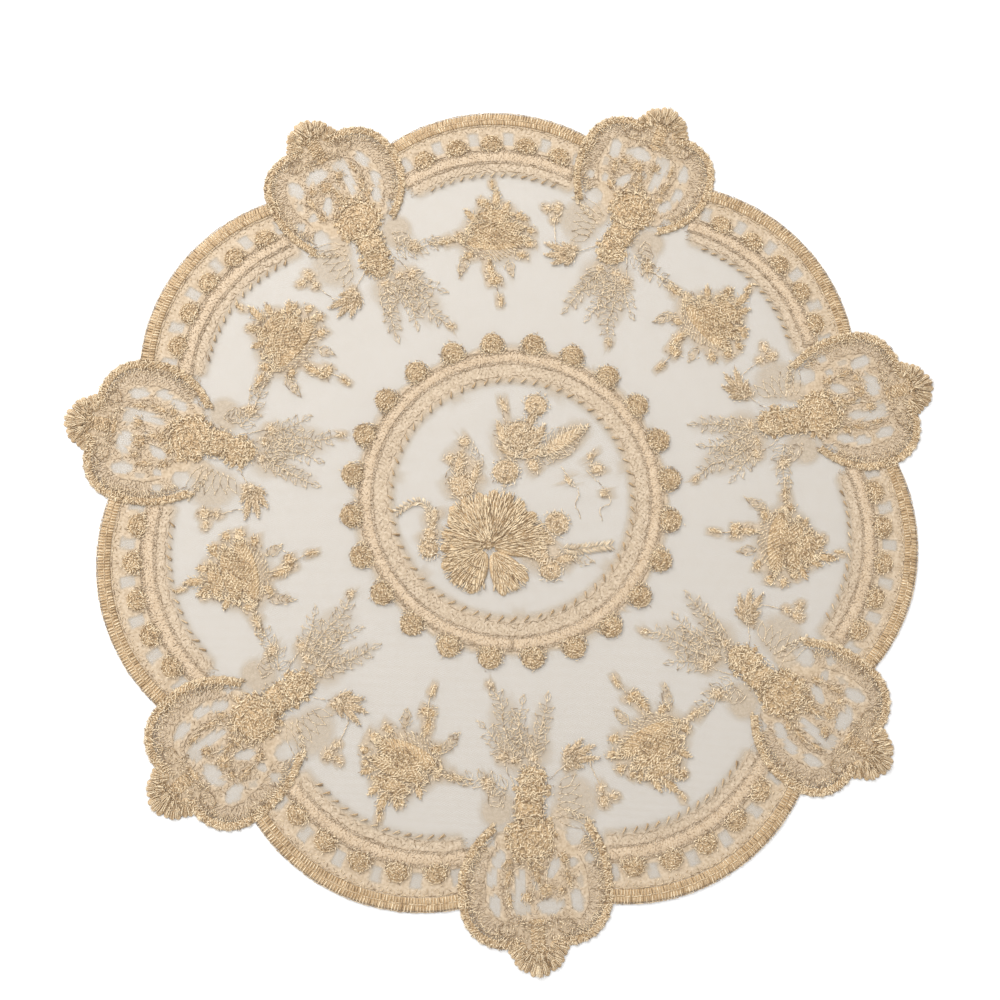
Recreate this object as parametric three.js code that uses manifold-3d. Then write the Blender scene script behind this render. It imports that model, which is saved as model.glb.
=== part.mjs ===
// A round lace placemat with seven lobes, lying flat: one sheet of fine net with its satin edge and
// raised embroidery in one piece. Millimetres, +Z up. The origin is the centre of the pattern on the
// underside, and +Y is the side that lies away from the viewer.
import * as THREE from "three";
import { mergeVertices } from "three/addons/utils/BufferGeometryUtils.js";
import Module from "manifold-3d";

const rad = THREE.MathUtils.degToRad;

// Driving dimensions of the whole mat
const pitch = rad(360 / 7); // from one lobe to the next
const firstLobe = rad(15.6); // direction of the first tip, from +X towards +Y
const chordError = 0.22; // how far a straight step may stray from its arc
const clear = 1; // how far a cut reaches past what it cuts
const lap = 0.2; // how far one rail runs under the next

// Heights above the table
const root = 0.5; // bands and rails start here, inside the net
const sink = 0.15; // how far a mound starts below the surface that carries it
const tops = { net: 1, fill: 1.35, leaf: 1.6, band: 1.8, petal: 2, rose: 2.3 };
const shoulderShare = 0.75; // how much of its height a mound has at its shoulder

// How the seven lobes differ: turn in degrees, reach of the lobe, crown of the scallop that follows
const unevenness = [
  { turn: 0.1, reach: 0, crown: -0.5 },
  { turn: 0.5, reach: 1.6, crown: 0.4 },
  { turn: 0.2, reach: 0.6, crown: 0 },
  { turn: -0.1, reach: -1.6, crown: -0.4 },
  { turn: -0.1, reach: -0.4, crown: -0.6 },
  { turn: 0, reach: 0, crown: 1.4 },
  { turn: -0.4, reach: -0.3, crown: -0.2 },
];

// Circles whose union is the outline, in a lobe's own frame: x across it, y outwards
const tip = { x: 0, y: 174.2, r: 3.8 };
const petal = { x: 5.6, y: 172.4, r: 3.2 };
const lowPetal = { x: 8.4, y: 168.9, r: 2.5 };
const shoulder = { x: 12.2, y: 151.3, r: 16.6 };
const scallop = { x: 0, y: 86.4, r: 75.6 }; // in the scallop's frame, half a pitch on

// Inner line of the satin edge
const innerShoulder = { x: 9.4, y: 148.4, r: 15.4 };
const scallopEdge = 5.2; // how wide the edge is on a scallop

// Rails of a scallop, as radii about a point nearer the middle of the mat than the scallop's own, and
// its rosettes about the scallop's own centre
const rail = { y: 75.9, outer: 69.5, middle: 64, inner: 59.6, halfAngle: rad(28), steps: 6 };
const borderRosette = { at: 62.4, count: 5, step: rad(13.4) };

// Medallion in the middle of the mat
const ring = { outer: 59.4, middle: 55, inner: 50.4, steps: 40 };
const ringRosette = { at: 62.6, count: 24, first: rad(6.7) };

// Bands of a lobe's horseshoe frame: width, height and the points of the middle line
const legSteps = 5;
const legs = [
  { width: 4.4, top: tops.band, way: [[26.9, 151], [26.2, 139.6], [21.4, 131], [14, 124]] },
  { width: 4.4, top: tops.band, way: [[-27.2, 151], [-27, 139], [-24.6, 131.5], [-20.6, 124]] },
  { width: 4.6, top: tops.fill, way: [[11.5, 160], [19, 156.5], [21.6, 148], [20.6, 137.5], [15.5, 130.5]] },
  { width: 4.6, top: tops.fill, way: [[-11.5, 160], [-19.6, 156.5], [-22.4, 148], [-22, 138], [-18, 131]] },
];

// Mounds: half sizes along and across, points of the rim, and the height of the peak. A step is the
// scale of a shoulder below the peak, and on is the surface that carries the mound.
const forms = {
  rose: { along: 9.6, across: 9.6, rim: 9, top: tops.rose, step: 0.62, on: tops.net },
  sepal: { along: 7.2, across: 7.6, rim: 6, top: tops.petal, on: tops.net },
  smallRose: { along: 7.4, across: 6.4, rim: 8, top: tops.rose, step: 0.6, on: tops.net },
  rosette: { along: 5, across: 5, rim: 6, top: tops.petal, step: 0.55, on: tops.net },
  wideRosette: { along: 5.6, across: 4.6, rim: 6, top: tops.petal, step: 0.55, on: tops.net },
  knot: { along: 4.6, across: 4.6, rim: 6, top: tops.petal, on: tops.net },
  curl: { along: 3.4, across: 3.4, rim: 6, top: tops.petal, on: tops.fill },
  throat: { along: 5.4, across: 3.2, rim: 6, top: tops.petal, on: tops.net },
  shell: { along: 4.2, across: 2, rim: 6, top: tops.rose, on: tops.band },
  mapleLeaf: { along: 7.4, across: 4.8, rim: 7, top: tops.leaf, on: tops.net },
  bigPetal: { along: 11.5, across: 8.4, rim: 8, top: tops.petal, step: 0.62, on: tops.net },
  cluster: { along: 10.5, across: 13, rim: 9, top: tops.petal, step: 0.7, on: tops.net },
};

// Floral forms of a lobe, of a field bouquet (in the scallop's frame) and of the middle bouquet.
// Aim is in degrees from +x. Leaf rows give length and width instead of a form.
const lobeForms = [
  { form: "shell", x: 0, y: 172.6, aim: 90 },
  { form: "shell", x: 4.2, y: 170.6, aim: 52 },
  { form: "shell", x: -4.2, y: 170.6, aim: 128 },
  { form: "throat", x: 0, y: 158, aim: 90 },
  { form: "curl", x: 11, y: 160.4, aim: 0 },
  { form: "curl", x: -11, y: 160.4, aim: 0 },
  { form: "rose", x: 0.8, y: 128.8, aim: 0 },
  { form: "sepal", x: 1, y: 118.8, aim: 90 },
  { form: "smallRose", x: -1, y: 109.2, aim: 90 },
  { form: "mapleLeaf", x: -19, y: 98.8, aim: 12 },
];
const lobeLeaves = [
  { x: -4.5, y: 148.5, aim: 150, length: 9, width: 5 },
  { x: 0.5, y: 149.5, aim: 60, length: 8, width: 5 },
  { x: 10.5, y: 145, aim: 80, length: 8, width: 4 },
  { x: -31, y: 115.6, aim: 165, length: 7, width: 4.4 },
  { x: -27.4, y: 115.6, aim: 80, length: 8, width: 3.4 },
  { x: 15.6, y: 106.4, aim: 285, length: 9, width: 4.6 },
  { x: 22, y: 106.4, aim: 345, length: 9, width: 3.8 },
  { x: 13.4, y: 114, aim: 300, length: 9, width: 4 },
  { x: -5.8, y: 87.4, aim: 252, length: 21, width: 8 },
  { x: 10, y: 97, aim: 25, length: 14, width: 5 },
  { x: 4.6, y: 87.5, aim: 285, length: 19, width: 6.5 },
  { x: 15.6, y: 86.6, aim: 330, length: 10, width: 5 },
  { x: 11.6, y: 75.4, aim: 300, length: 13, width: 4 },
];
const fieldForms = [
  { form: "cluster", x: 0, y: 108.6, aim: 90 },
];
const fieldLeaves = [
  { x: -0.4, y: 126, aim: 92, length: 12, width: 7 },
  { x: 4.8, y: 120.4, aim: 60, length: 9, width: 6 },
  { x: -4.8, y: 120.4, aim: 120, length: 9, width: 6 },
  { x: 15.4, y: 108.6, aim: 350, length: 8, width: 5 },
  { x: -11.4, y: 95.6, aim: 245, length: 12, width: 5 },
  { x: -1.4, y: 91.4, aim: 268, length: 14, width: 5 },
  { x: 8, y: 96, aim: 300, length: 9, width: 4 },
];
const middleForms = [
  { form: "bigPetal", x: -18.4, y: -10.6, aim: 165 },
  { form: "bigPetal", x: -16, y: -24.6, aim: 232 },
  { form: "bigPetal", x: -1.6, y: -25.6, aim: 292 },
  { form: "bigPetal", x: 2.4, y: -12.6, aim: 10 },
  { form: "bigPetal", x: -7.6, y: -6.6, aim: 85 },
  { form: "knot", x: 16, y: -11, aim: 0 },
  { form: "knot", x: 13.4, y: -27.6, aim: 0 },
  { form: "knot", x: -32.6, y: -20.6, aim: 0 },
  { form: "knot", x: -1.6, y: 12, aim: 0 },
  { form: "knot", x: -21.4, y: 14.6, aim: 0 },
  { form: "smallRose", x: 1.2, y: 25.6, aim: 60 },
  { form: "knot", x: 9.6, y: 37.6, aim: 0 },
];
const middleLeaves = [
  { x: 19.6, y: 25.4, aim: 25, length: 20, width: 9 },
  { x: 9, y: 16, aim: 40, length: 10, width: 5 },
  { x: 24.6, y: -20.4, aim: 5, length: 18, width: 5.4 },
  { x: -19, y: 4, aim: 100, length: 18, width: 6 },
  { x: -18, y: 22, aim: 75, length: 10, width: 4.4 },
  { x: -34.6, y: -9, aim: 115, length: 16, width: 5.4 },
  { x: -40.6, y: -3.6, aim: 170, length: 9, width: 4 },
  { x: -3, y: 37, aim: 110, length: 9, width: 3.6 },
  { x: 33.4, y: 9.6, aim: 60, length: 16, width: 5 },
  { x: 35, y: -2.4, aim: 260, length: 11, width: 4 },
];

const wasm = await Module();
wasm.setup();

// A closed geometry as a solid that can be joined and cut.
function solid(geometry) {
  geometry.deleteAttribute("normal");
  geometry.deleteAttribute("uv");
  const merged = mergeVertices(geometry);
  return new wasm.Manifold(
    new wasm.Mesh({
      numProp: 3,
      vertProperties: merged.attributes.position.array,
      triVerts: new Uint32Array(merged.index.array),
    }),
  );
}

// An upright slab over an outline of [x, y] points.
function slab(points, bottom, top) {
  const shape = new THREE.Shape(points.map(([x, y]) => new THREE.Vector2(x, y)));
  const geometry = new THREE.ExtrudeGeometry(shape, { depth: top - bottom, bevelEnabled: false });
  return solid(geometry.translate(0, 0, bottom));
}

// A slab of even width that follows a smooth line through the given points.
function band(way, width, top, steps, place) {
  const line = new THREE.SplineCurve(way.map(([x, y]) => new THREE.Vector2(x, y)));
  const left = [];
  const right = [];
  for (let i = 0; i <= steps; i++) {
    const at = line.getPoint(i / steps);
    const side = line.getTangent(i / steps).rotateAround(new THREE.Vector2(), Math.PI / 2);
    left.unshift(place([at.x + (side.x * width) / 2, at.y + (side.y * width) / 2]));
    right.push(place([at.x - (side.x * width) / 2, at.y - (side.y * width) / 2]));
  }
  return slab(left.concat(right), root, top);
}

// A flat arched slab between two radii about a centre.
function arch(centre, inner, outer, from, to, steps, top) {
  const points = [];
  const add = (r, i) => {
    const a = from + ((to - from) * i) / steps;
    points.push([centre[0] + r * Math.cos(a), centre[1] + r * Math.sin(a)]);
  };
  for (let i = 0; i <= steps; i++) add(outer, i);
  for (let i = steps; i >= 0; i--) add(inner, i);
  return slab(points, root, top);
}

// A closed form over a rim of [x, y] points around [cx, cy]: each level is a scale of the rim and a
// height, and the last one closes in its peak.
function cone(rim, [cx, cy], levels) {
  const n = rim.length;
  const position = [];
  for (const { scale, z } of levels)
    for (const [x, y] of rim) position.push(cx + (x - cx) * scale, cy + (y - cy) * scale, z);
  const peak = position.length / 3;
  position.push(cx, cy, levels.at(-1).peak, cx, cy, levels[0].z);
  const index = [];
  for (let i = 0; i < n; i++) {
    const j = (i + 1) % n;
    for (let k = 0; k + 1 < levels.length; k++) {
      const [a, b, c, d] = [k * n + i, k * n + j, (k + 1) * n + j, (k + 1) * n + i];
      index.push(a, b, c, a, c, d);
    }
    const last = (levels.length - 1) * n;
    index.push(last + i, last + j, peak, j, i, peak + 1);
  }
  const geometry = new THREE.BufferGeometry();
  geometry.setAttribute("position", new THREE.Float32BufferAttribute(position, 3));
  return solid(geometry.setIndex(index));
}

// A mound over a rim given at the surface that carries it, started a little below that surface.
function mound(rim, centre, { top, step, on }) {
  const start = on - sink;
  if (!step) return cone(rim, centre, [{ scale: (top - start) / (top - on), z: start, peak: top }]);
  const shoulderZ = on + (top - on) * shoulderShare;
  const share = sink / (shoulderZ - start);
  return cone(rim, centre, [
    { scale: (1 - step * share) / (1 - share), z: start },
    { scale: step, z: shoulderZ, peak: top },
  ]);
}

// Points given along and across a form, turned to its aim and moved to its place.
function set(points, x, y, aim, place) {
  const [c, s] = [Math.cos(aim), Math.sin(aim)];
  return points.map(([u, v]) => place([x + u * c - v * s, y + u * s + v * c]));
}

// A flower, petal or knot with an oval rim.
function dome(form, x, y, aim, place) {
  const points = [];
  for (let i = 0; i < form.rim; i++) {
    const a = (2 * Math.PI * i) / form.rim;
    points.push([form.along * Math.cos(a), form.across * Math.sin(a)]);
  }
  return mound(set(points, x, y, aim, place), place([x, y]), form);
}

// A pointed leaf with a raised middle, widest a little past its middle.
const leafRim = [[0.5, 0], [0.1, 0.5], [-0.3, 0.4], [-0.5, 0], [-0.3, -0.4], [0.1, -0.5]]; // of its size
function leaf({ x, y, aim, length, width }, place) {
  const points = leafRim.map(([u, v]) => [u * length, v * width]);
  return mound(set(points, x, y, rad(aim), place), place([x, y]), { top: tops.leaf, on: tops.net });
}

// Places [x, y] points of a frame whose y axis points at the given direction, pushed out by reach.
function frameAt(direction, reach = 0) {
  const [c, s] = [Math.cos(direction), Math.sin(direction)];
  return ([x, y]) => [x * s + (y + reach) * c, -x * c + (y + reach) * s];
}

const lobeDirection = (i) => firstLobe + i * pitch + rad(unevenness[i].turn);
const scallopDirection = (i) => firstLobe + (i + 0.5) * pitch;

// The circle of a lobe or scallop, in the mat's frame, made smaller by inset.
function circleAt(place, { x, y, r }, inset = 0) {
  const [cx, cy] = place([x, y]);
  return { x: cx, y: cy, r: r - inset };
}

// Where the rim passes from circle a to circle b: their crossing on the left of the way from a to b.
function crossing(a, b) {
  const [dx, dy] = [b.x - a.x, b.y - a.y];
  const d = Math.hypot(dx, dy);
  const along = (d * d + a.r * a.r - b.r * b.r) / (2 * d);
  const off = Math.sqrt(a.r * a.r - along * along);
  return [a.x + (dx * along - dy * off) / d, a.y + (dy * along + dx * off) / d];
}

// The outline of a closed row of circles, each crossing the next, given clockwise and returned anticlockwise.
function outlineOf(circles) {
  const points = [];
  circles.forEach((circle, i) => {
    const before = crossing(circles.at(i - 1), circle);
    const after = crossing(circle, circles[(i + 1) % circles.length]);
    const from = Math.atan2(before[1] - circle.y, before[0] - circle.x);
    const to = Math.atan2(after[1] - circle.y, after[0] - circle.x);
    const span = (from - to + 4 * Math.PI) % (2 * Math.PI);
    const steps = Math.ceil(span / (2 * Math.acos(1 - chordError / circle.r)));
    for (let k = 0; k < steps; k++) {
      const a = from - (span * k) / steps;
      points.push([circle.x + circle.r * Math.cos(a), circle.y + circle.r * Math.sin(a)]);
    }
  });
  return points.reverse();
}

// The circles of the whole mat, clockwise. The inner line of the edge has no petals.
function matCircles(inner) {
  const circles = [];
  for (let i = unevenness.length - 1; i >= 0; i--) {
    const { reach, crown } = unevenness[i];
    circles.push(circleAt(frameAt(scallopDirection(i), crown), scallop, inner ? scallopEdge : 0));
    const place = frameAt(lobeDirection(i), reach);
    const row = inner ? [innerShoulder] : [shoulder, lowPetal, petal, tip];
    const mirrored = row.map((c) => ({ ...c, x: -c.x }));
    const rightward = [...row].reverse().filter((c) => c !== tip);
    for (const c of [...mirrored, ...rightward]) circles.push(circleAt(place, c));
  }
  return circles;
}

// The satin edge, all round the mat.
function edge() {
  const inside = slab(outlineOf(matCircles(true)), tops.net, tops.band + clear);
  return slab(outlineOf(matCircles(false)), 0, tops.band).subtract(inside);
}

// The forms and leaves of one bouquet.
function bouquet(formRows, leafRows, place) {
  return [
    ...formRows.map(({ form, x, y, aim }) => dome(forms[form], x, y, rad(aim), place)),
    ...leafRows.map((row) => leaf(row, place)),
  ];
}

// One lobe: the two bands of its horseshoe frame and its flowers.
function lobe(i) {
  const place = frameAt(lobeDirection(i), unevenness[i].reach);
  return [
    ...legs.map(({ width, top, way }) => band(way, width, top, legSteps, place)),
    ...bouquet(lobeForms, lobeLeaves, place),
  ];
}

// One scallop: two rails, a row of rosettes, and the bouquet in the field.
function scallopTrim(i) {
  const direction = scallopDirection(i);
  const place = frameAt(direction, unevenness[i].crown);
  const centre = place([scallop.x, rail.y]);
  const [from, to] = [direction - rail.halfAngle, direction + rail.halfAngle];
  const pieces = [
    arch(centre, rail.middle, rail.outer, from, to, rail.steps, tops.band),
    arch(centre, rail.inner, rail.middle + lap, from, to, rail.steps, tops.fill),
  ];
  const onArc = (radius, a) => [scallop.x + radius * Math.sin(a), scallop.y + radius * Math.cos(a)];
  for (let k = 0; k < borderRosette.count; k++) {
    const a = (k - (borderRosette.count - 1) / 2) * borderRosette.step;
    const [x, y] = onArc(borderRosette.at, a);
    pieces.push(dome(forms.wideRosette, x, y, -a, place));
  }
  return [...pieces, ...bouquet(fieldForms, fieldLeaves, frameAt(direction))];
}

// A round slab about the middle of the mat.
function disc(r, bottom, top) {
  const points = [];
  for (let i = 0; i < ring.steps; i++) {
    const a = (2 * Math.PI * i) / ring.steps;
    points.push([r * Math.cos(a), r * Math.sin(a)]);
  }
  return slab(points, bottom, top);
}

// The ring of the medallion, its rosettes, and the middle bouquet.
function medallion() {
  const place = frameAt(Math.PI / 2);
  const pieces = [
    disc(ring.outer, root, tops.band)
      .subtract(disc(ring.middle, tops.fill, tops.band + clear))
      .subtract(disc(ring.inner, root - clear, tops.band + clear)),
  ];
  for (let k = 0; k < ringRosette.count; k++) {
    const a = ringRosette.first + (k * 2 * Math.PI) / ringRosette.count;
    pieces.push(dome(forms.rosette, ringRosette.at * Math.cos(a), ringRosette.at * Math.sin(a), a, place));
  }
  return [...pieces, ...bouquet(middleForms, middleLeaves, place)];
}

// The whole mat as one solid.
function laceMat() {
  const raised = medallion();
  unevenness.forEach((_, i) => raised.push(...lobe(i), ...scallopTrim(i)));
  return raised.reduce((mat, piece) => mat.add(piece), edge());
}

const made = laceMat().getMesh();
const geometry = new THREE.BufferGeometry();
geometry.setAttribute("position", new THREE.BufferAttribute(made.vertProperties, 3));
geometry.setIndex(new THREE.BufferAttribute(made.triVerts, 1));
geometry.computeVertexNormals();

const yarn = new THREE.MeshStandardMaterial({ color: "#dcc29c", roughness: 0.85, metalness: 0 });
const mat = new THREE.Mesh(geometry, yarn);
mat.name = "lace_mat";

const group = new THREE.Group();
group.add(mat);

export default group;
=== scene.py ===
# Round lace placemat with seven lobes: a fine net, its corded edge and its embroidery, stitch by stitch.
# Sizes in the tables are millimetres and degrees, with x across a lobe or scallop and y outwards.
import math

import bpy
import numpy as np
from mathutils import Matrix


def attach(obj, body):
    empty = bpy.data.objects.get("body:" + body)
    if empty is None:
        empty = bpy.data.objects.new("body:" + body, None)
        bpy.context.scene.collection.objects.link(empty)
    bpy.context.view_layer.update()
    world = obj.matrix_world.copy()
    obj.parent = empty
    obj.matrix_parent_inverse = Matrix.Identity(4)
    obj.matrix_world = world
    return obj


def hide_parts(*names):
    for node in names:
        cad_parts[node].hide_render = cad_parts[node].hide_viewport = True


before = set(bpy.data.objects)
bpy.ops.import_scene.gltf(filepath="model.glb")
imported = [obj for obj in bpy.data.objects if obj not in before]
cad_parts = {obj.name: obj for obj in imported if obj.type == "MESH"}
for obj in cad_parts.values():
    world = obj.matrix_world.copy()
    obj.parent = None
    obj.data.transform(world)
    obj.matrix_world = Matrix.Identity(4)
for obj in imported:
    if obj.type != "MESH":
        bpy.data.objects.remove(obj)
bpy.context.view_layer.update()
print("frame loaded")

mm = 0.001
rng = np.random.default_rng(34)
goldenTurn = math.pi * (3 - math.sqrt(5))

matLayout = dict(
    firstLobe=15.6,                                 # direction of the first tip, from +X
    turns=(0.1, 0.5, 0.2, -0.1, -0.1, 0.0, -0.4),   # how far each lobe is turned from its even place
    reaches=(0.0, 1.6, 0.6, -1.6, -0.4, 0.0, -0.3), # how much further out each lobe lies
    crowns=(-0.5, 0.4, 0.0, -0.4, -0.6, 1.4, -0.2), # the same for the scallop that follows it
    scallop=(0.0, 86.4, 75.6),                      # circles of the outline: x, y, radius
    shoulder=(12.2, 151.3, 16.6),
    lowPetal=(8.4, 168.9, 2.5),
    petal=(5.6, 172.4, 3.2),
    tip=(0.0, 174.2, 3.8),
)
lobes = range(len(matLayout["turns"]))


def lobePlace(i):
    turn = matLayout["firstLobe"] + i * 360 / len(lobes) + matLayout["turns"][i]
    return math.radians(turn), matLayout["reaches"][i]


def scallopPlace(i, crown=True):
    turn = matLayout["firstLobe"] + (i + 0.5) * 360 / len(lobes)
    return math.radians(turn), matLayout["crowns"][i] if crown else 0.0


# Points of a frame whose y axis points in a direction, pushed out by reach: x times one side of the
# turned frame plus y times the other.
def moved(points, direction, reach=0.0):
    c, s = math.cos(direction), math.sin(direction)
    x, y = points[:, 0], points[:, 1] + reach
    return np.column_stack([x * s + y * c, y * s - x * c])


# Lines

# A smooth curve through the given points (cubic with the slopes of the neighbours), cut at an even
# pitch: the points and the unit directions there.
def evenly(way, pitch):
    way = np.asarray(way, float)
    ends = np.vstack([2 * way[0] - way[1], way, 2 * way[-1] - way[-2]])
    u = np.linspace(0, 1, 24, endpoint=False)[:, None, None]
    p, q, r, s = ends[:-3], ends[1:-2], ends[2:-1], ends[3:]
    fine = (2 * q + (r - p) * u + (2 * p - 5 * q + 4 * r - s) * u**2 + (3 * q - p - 3 * r + s) * u**3) / 2
    fine = np.vstack([fine.transpose(1, 0, 2).reshape(-1, 2), way[-1]])
    gone = np.concatenate([[0], np.cumsum(np.linalg.norm(np.diff(fine, axis=0), axis=1))])
    count = max(2, round(gone[-1] / pitch) + 1)
    at = np.linspace(0, gone[-1], count)
    points = np.column_stack([np.interp(at, gone, fine[:, k]) for k in (0, 1)])
    slope = np.gradient(points, axis=0)
    return points, slope / np.linalg.norm(slope, axis=1)[:, None]


# Points on a circle about a centre: radius times cosine and sine of angles from one to another.
def arc(centre, radius, start, end, step=4.0):
    turn = np.radians(np.linspace(start, end, max(3, int(abs(end - start) / step) + 1)))
    return np.column_stack([centre[0] + radius * np.cos(turn), centre[1] + radius * np.sin(turn)])


def leftOf(direction):
    return np.column_stack([-direction[:, 1], direction[:, 0]])


# The unit directions at angles in radians, one in each row.
def headings(turn):
    return np.column_stack([np.cos(turn), np.sin(turn)])


# The unit directions along an aim in degrees and to its left.
def axesOf(aim):
    turn = math.radians(aim)
    axis = np.array([math.cos(turn), math.sin(turn)])
    return axis, np.array([-axis[1], axis[0]])


# The angle in degrees of a direction.
def aimOf(direction):
    return math.degrees(math.atan2(direction[1], direction[0]))


# Stitches are rows: start x and y, end x and y, height, width, rise and sideways bow of the middle, tone.
# Padding is rows along a line: x, y, half width, underside, top, tone. A piece of work is stitches with
# their paddings.
# Padding takes a low tone: painted shade in the gaps between the stitches over it.
padTone = 0.22
padLow = 0.3           # height of the underside
padPitch = 2.5
petalBow = 0.12        # sideways bow of a petal's outer stitches
goldenShare = 0.61803
noStitches = np.empty((0, 9))
unevenness = dict(
    height=0.16,            # how far up or down a stitch may lie
    width=(0.8, 1.2),       # of the given width
    rise=(0.6, 1.4),        # of the given rise
    bow=0.05,               # how far to the side its middle may lie
    grain=(0.7, 1.25),      # of the given length of a grain
    shaded=0.14,            # share of the stitches painted dark and thinner, painted shade between the threads
    shadedWidth=0.75,
    thinned=(0.2, 0.7),     # strength of a soft oval at which it drops a stitch
)


def stitches(start, end, z=0.95, width=0.5, rise=0.2, bow=0.0, tone=0.68, loose=0.14, uneven=0.2,
             shaded=unevenness["shaded"]):
    start, end = np.atleast_2d(start), np.atleast_2d(end)
    count = len(start)
    rows = np.empty((count, 9))
    rows[:, 0:2] = start + rng.normal(0, loose, (count, 2))
    rows[:, 2:4] = end + rng.normal(0, loose, (count, 2))
    rows[:, 4] = z + rng.uniform(-unevenness["height"], unevenness["height"], count)
    rows[:, 5] = width * rng.uniform(*unevenness["width"], count)
    rows[:, 6] = rise * rng.uniform(*unevenness["rise"], count)
    rows[:, 7] = bow + rng.normal(0, unevenness["bow"], count)
    rows[:, 8] = tone + rng.normal(0, uneven, count)
    # painted shade: a share of the stitches take the lowest tone, the deep shade colour, and are thinner
    inShade = rng.random(count) < shaded
    rows[inShade, 8] = 0.0
    rows[inShade, 5] *= unevenness["shadedWidth"]
    return rows


# Pieces of work put together. Sewn takes bare stitches too, as work without padding.
def joined(works):
    rows = [w[0] for w in works if len(w[0])]
    return np.concatenate(rows) if rows else noStitches, [p for w in works for p in w[1]]


def sewn(*parts):
    return joined([p if isinstance(p, tuple) else (p, []) for p in parts])


def placed(work, direction, reach=0.0):
    rows = work[0].copy()
    rows[:, 0:2] = moved(work[0][:, 0:2], direction, reach)
    rows[:, 2:4] = moved(work[0][:, 2:4], direction, reach)
    return rows, [np.column_stack([moved(p[:, :2], direction, reach), p[:, 2:]]) for p in work[1]]


# The strongest of some soft ovals at each point: full inside, fading to nothing past the rim.
def softOvals(points, ovals, fade=0.4):
    level = np.zeros(len(points))
    for x, y, a, b, aim, strength in ovals:
        c, s = math.cos(math.radians(aim)), math.sin(math.radians(aim))
        dx, dy = points[:, 0] - x, points[:, 1] - y
        away = np.hypot((dx * c + dy * s) / a, (dy * c - dx * s) / b)
        level = np.maximum(level, strength * np.clip((1 + fade / 2 - away) / fade, 0, 1))
    return level


# The stitches whose middles lie outside the ovals.
def outsideOvals(rows, ovals):
    middles = (rows[:, 0:2] + rows[:, 2:4]) / 2
    return rows[softOvals(middles, ovals) < rng.uniform(*unevenness["thinned"], len(rows))]


# The same work made once for each lobe or scallop, so that no two are stitched alike.
def perLobe(make):
    return joined([placed(make(), *lobePlace(i)) for i in lobes])


def perScallop(make, crown=True):
    return joined([placed(make(), *scallopPlace(i, crown)) for i in lobes])


# Stitch kinds

# Stitches across a line, from one distance left of it to another, leaning forward along it.
def across(way, near, far, pitch, lean=0.0, **look):
    at, ahead = evenly(way, pitch)
    left = leftOf(ahead)
    return stitches(at + left * near - ahead * lean / 2, at + left * far + ahead * lean / 2, **look)


# Stitches end to end along a line, each a little longer than the pitch.
def cord(way, pitch=1.5, **look):
    at, ahead = evenly(way, pitch)
    look = {"width": 0.5, "rise": 0.12, "loose": 0.12, "uneven": 0.1, **look}
    return stitches(at - ahead * pitch * 0.6, at + ahead * pitch * 0.6, **look)


# A padded line: a low half-round ribbon of even width.
def padLine(way, half, high=0.66, tone=padTone):
    at = evenly(way, padPitch)[0]
    return noStitches, [np.column_stack([at, np.full((len(at), 4), (half, padLow, high, tone))])]


# A padded oval: half width is the root of one less the square of the distance along its long axis.
def padOval(centre, halves, aim=0.0, high=0.7, steps=9):
    u = np.sin(np.linspace(-1, 1, steps) * math.pi / 2)
    at = np.asarray(centre, float) + u[:, None] * halves[0] * axesOf(aim)[0]
    half = halves[1] * np.sqrt(np.maximum(1 - u**2, 0.0)) + 0.05
    top = padLow + (high - padLow) * np.sqrt(np.maximum(1 - u**2, 0.02))
    low, tone = np.full(steps, padLow), np.full(steps, padTone)
    return noStitches, [np.column_stack([at, half, low, top, tone])]


# A direction that wanders slowly over the cloth, so that stitches lie in small tufts: turns of a half
# circle times sines of each place, each bent by another.
def wander(at):
    x, y = at[:, 0], at[:, 1]
    return math.pi * (np.sin(1.1 * x + 1.7 * np.sin(0.8 * y)) + np.cos(0.9 * y + 1.6 * np.sin(0.7 * x + 1)))


# Grains of thread spread over an oval by the sunflower rule: out by the root of the count, a golden turn
# each, some strayed past the rim. Spread is how far they turn from the wandering direction.
def grains(centre, halves, closeness=1.05, length=1.4, spread=24.0, aim=0.0, dome=0.3, z=0.9, wobble=0.0,
           **look):
    count = max(5, round(math.pi * halves[0] * halves[1] * closeness))
    i = np.arange(count) + 0.5
    share = np.sqrt(i / count)
    turn = i * goldenTurn
    rim = 1 + wobble * (np.cos(5 * turn + centre[0]) + 0.6 * np.cos(9 * turn + centre[1])) * share
    local = np.column_stack([halves[0] * np.cos(turn), halves[1] * np.sin(turn)]) * (share * rim)[:, None]
    at = local @ np.array(axesOf(aim)) + centre
    at = at + rng.normal(0, 0.28, (count, 2))
    way = wander(at) + np.radians(rng.normal(0, spread, count))
    half = headings(way) * (length * rng.uniform(*unevenness["grain"], count) / 2)[:, None]
    return stitches(at - half, at + half, z=z + dome * (1 - share**2), **look)


# Places across a band from -1 to 1, each a golden step on from the one before.
def goldenSteps(count, first):
    return 2 * ((np.arange(count) * goldenShare + first) % 1) - 1


# Grains along a line: evenly spaced on it, and set across it by golden steps.
def bandGrains(way, half, closeness=1.1, length=1.3, heading=70.0, spread=35.0, dome=0.25, z=0.85, **look):
    at, ahead = evenly(way, 1 / max(closeness * 2 * half, 0.1))
    count = len(at)
    offset = goldenSteps(count, 0.3)
    way = np.arctan2(ahead[:, 1], ahead[:, 0]) + np.radians(heading + rng.normal(0, spread, count))
    at = at + leftOf(ahead) * (offset * half)[:, None]
    reach = headings(way) * (length * rng.uniform(*unevenness["grain"], count) / 2)[:, None]
    return stitches(at - reach, at + reach, z=z + dome * (1 - offset**2), **look)


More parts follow.
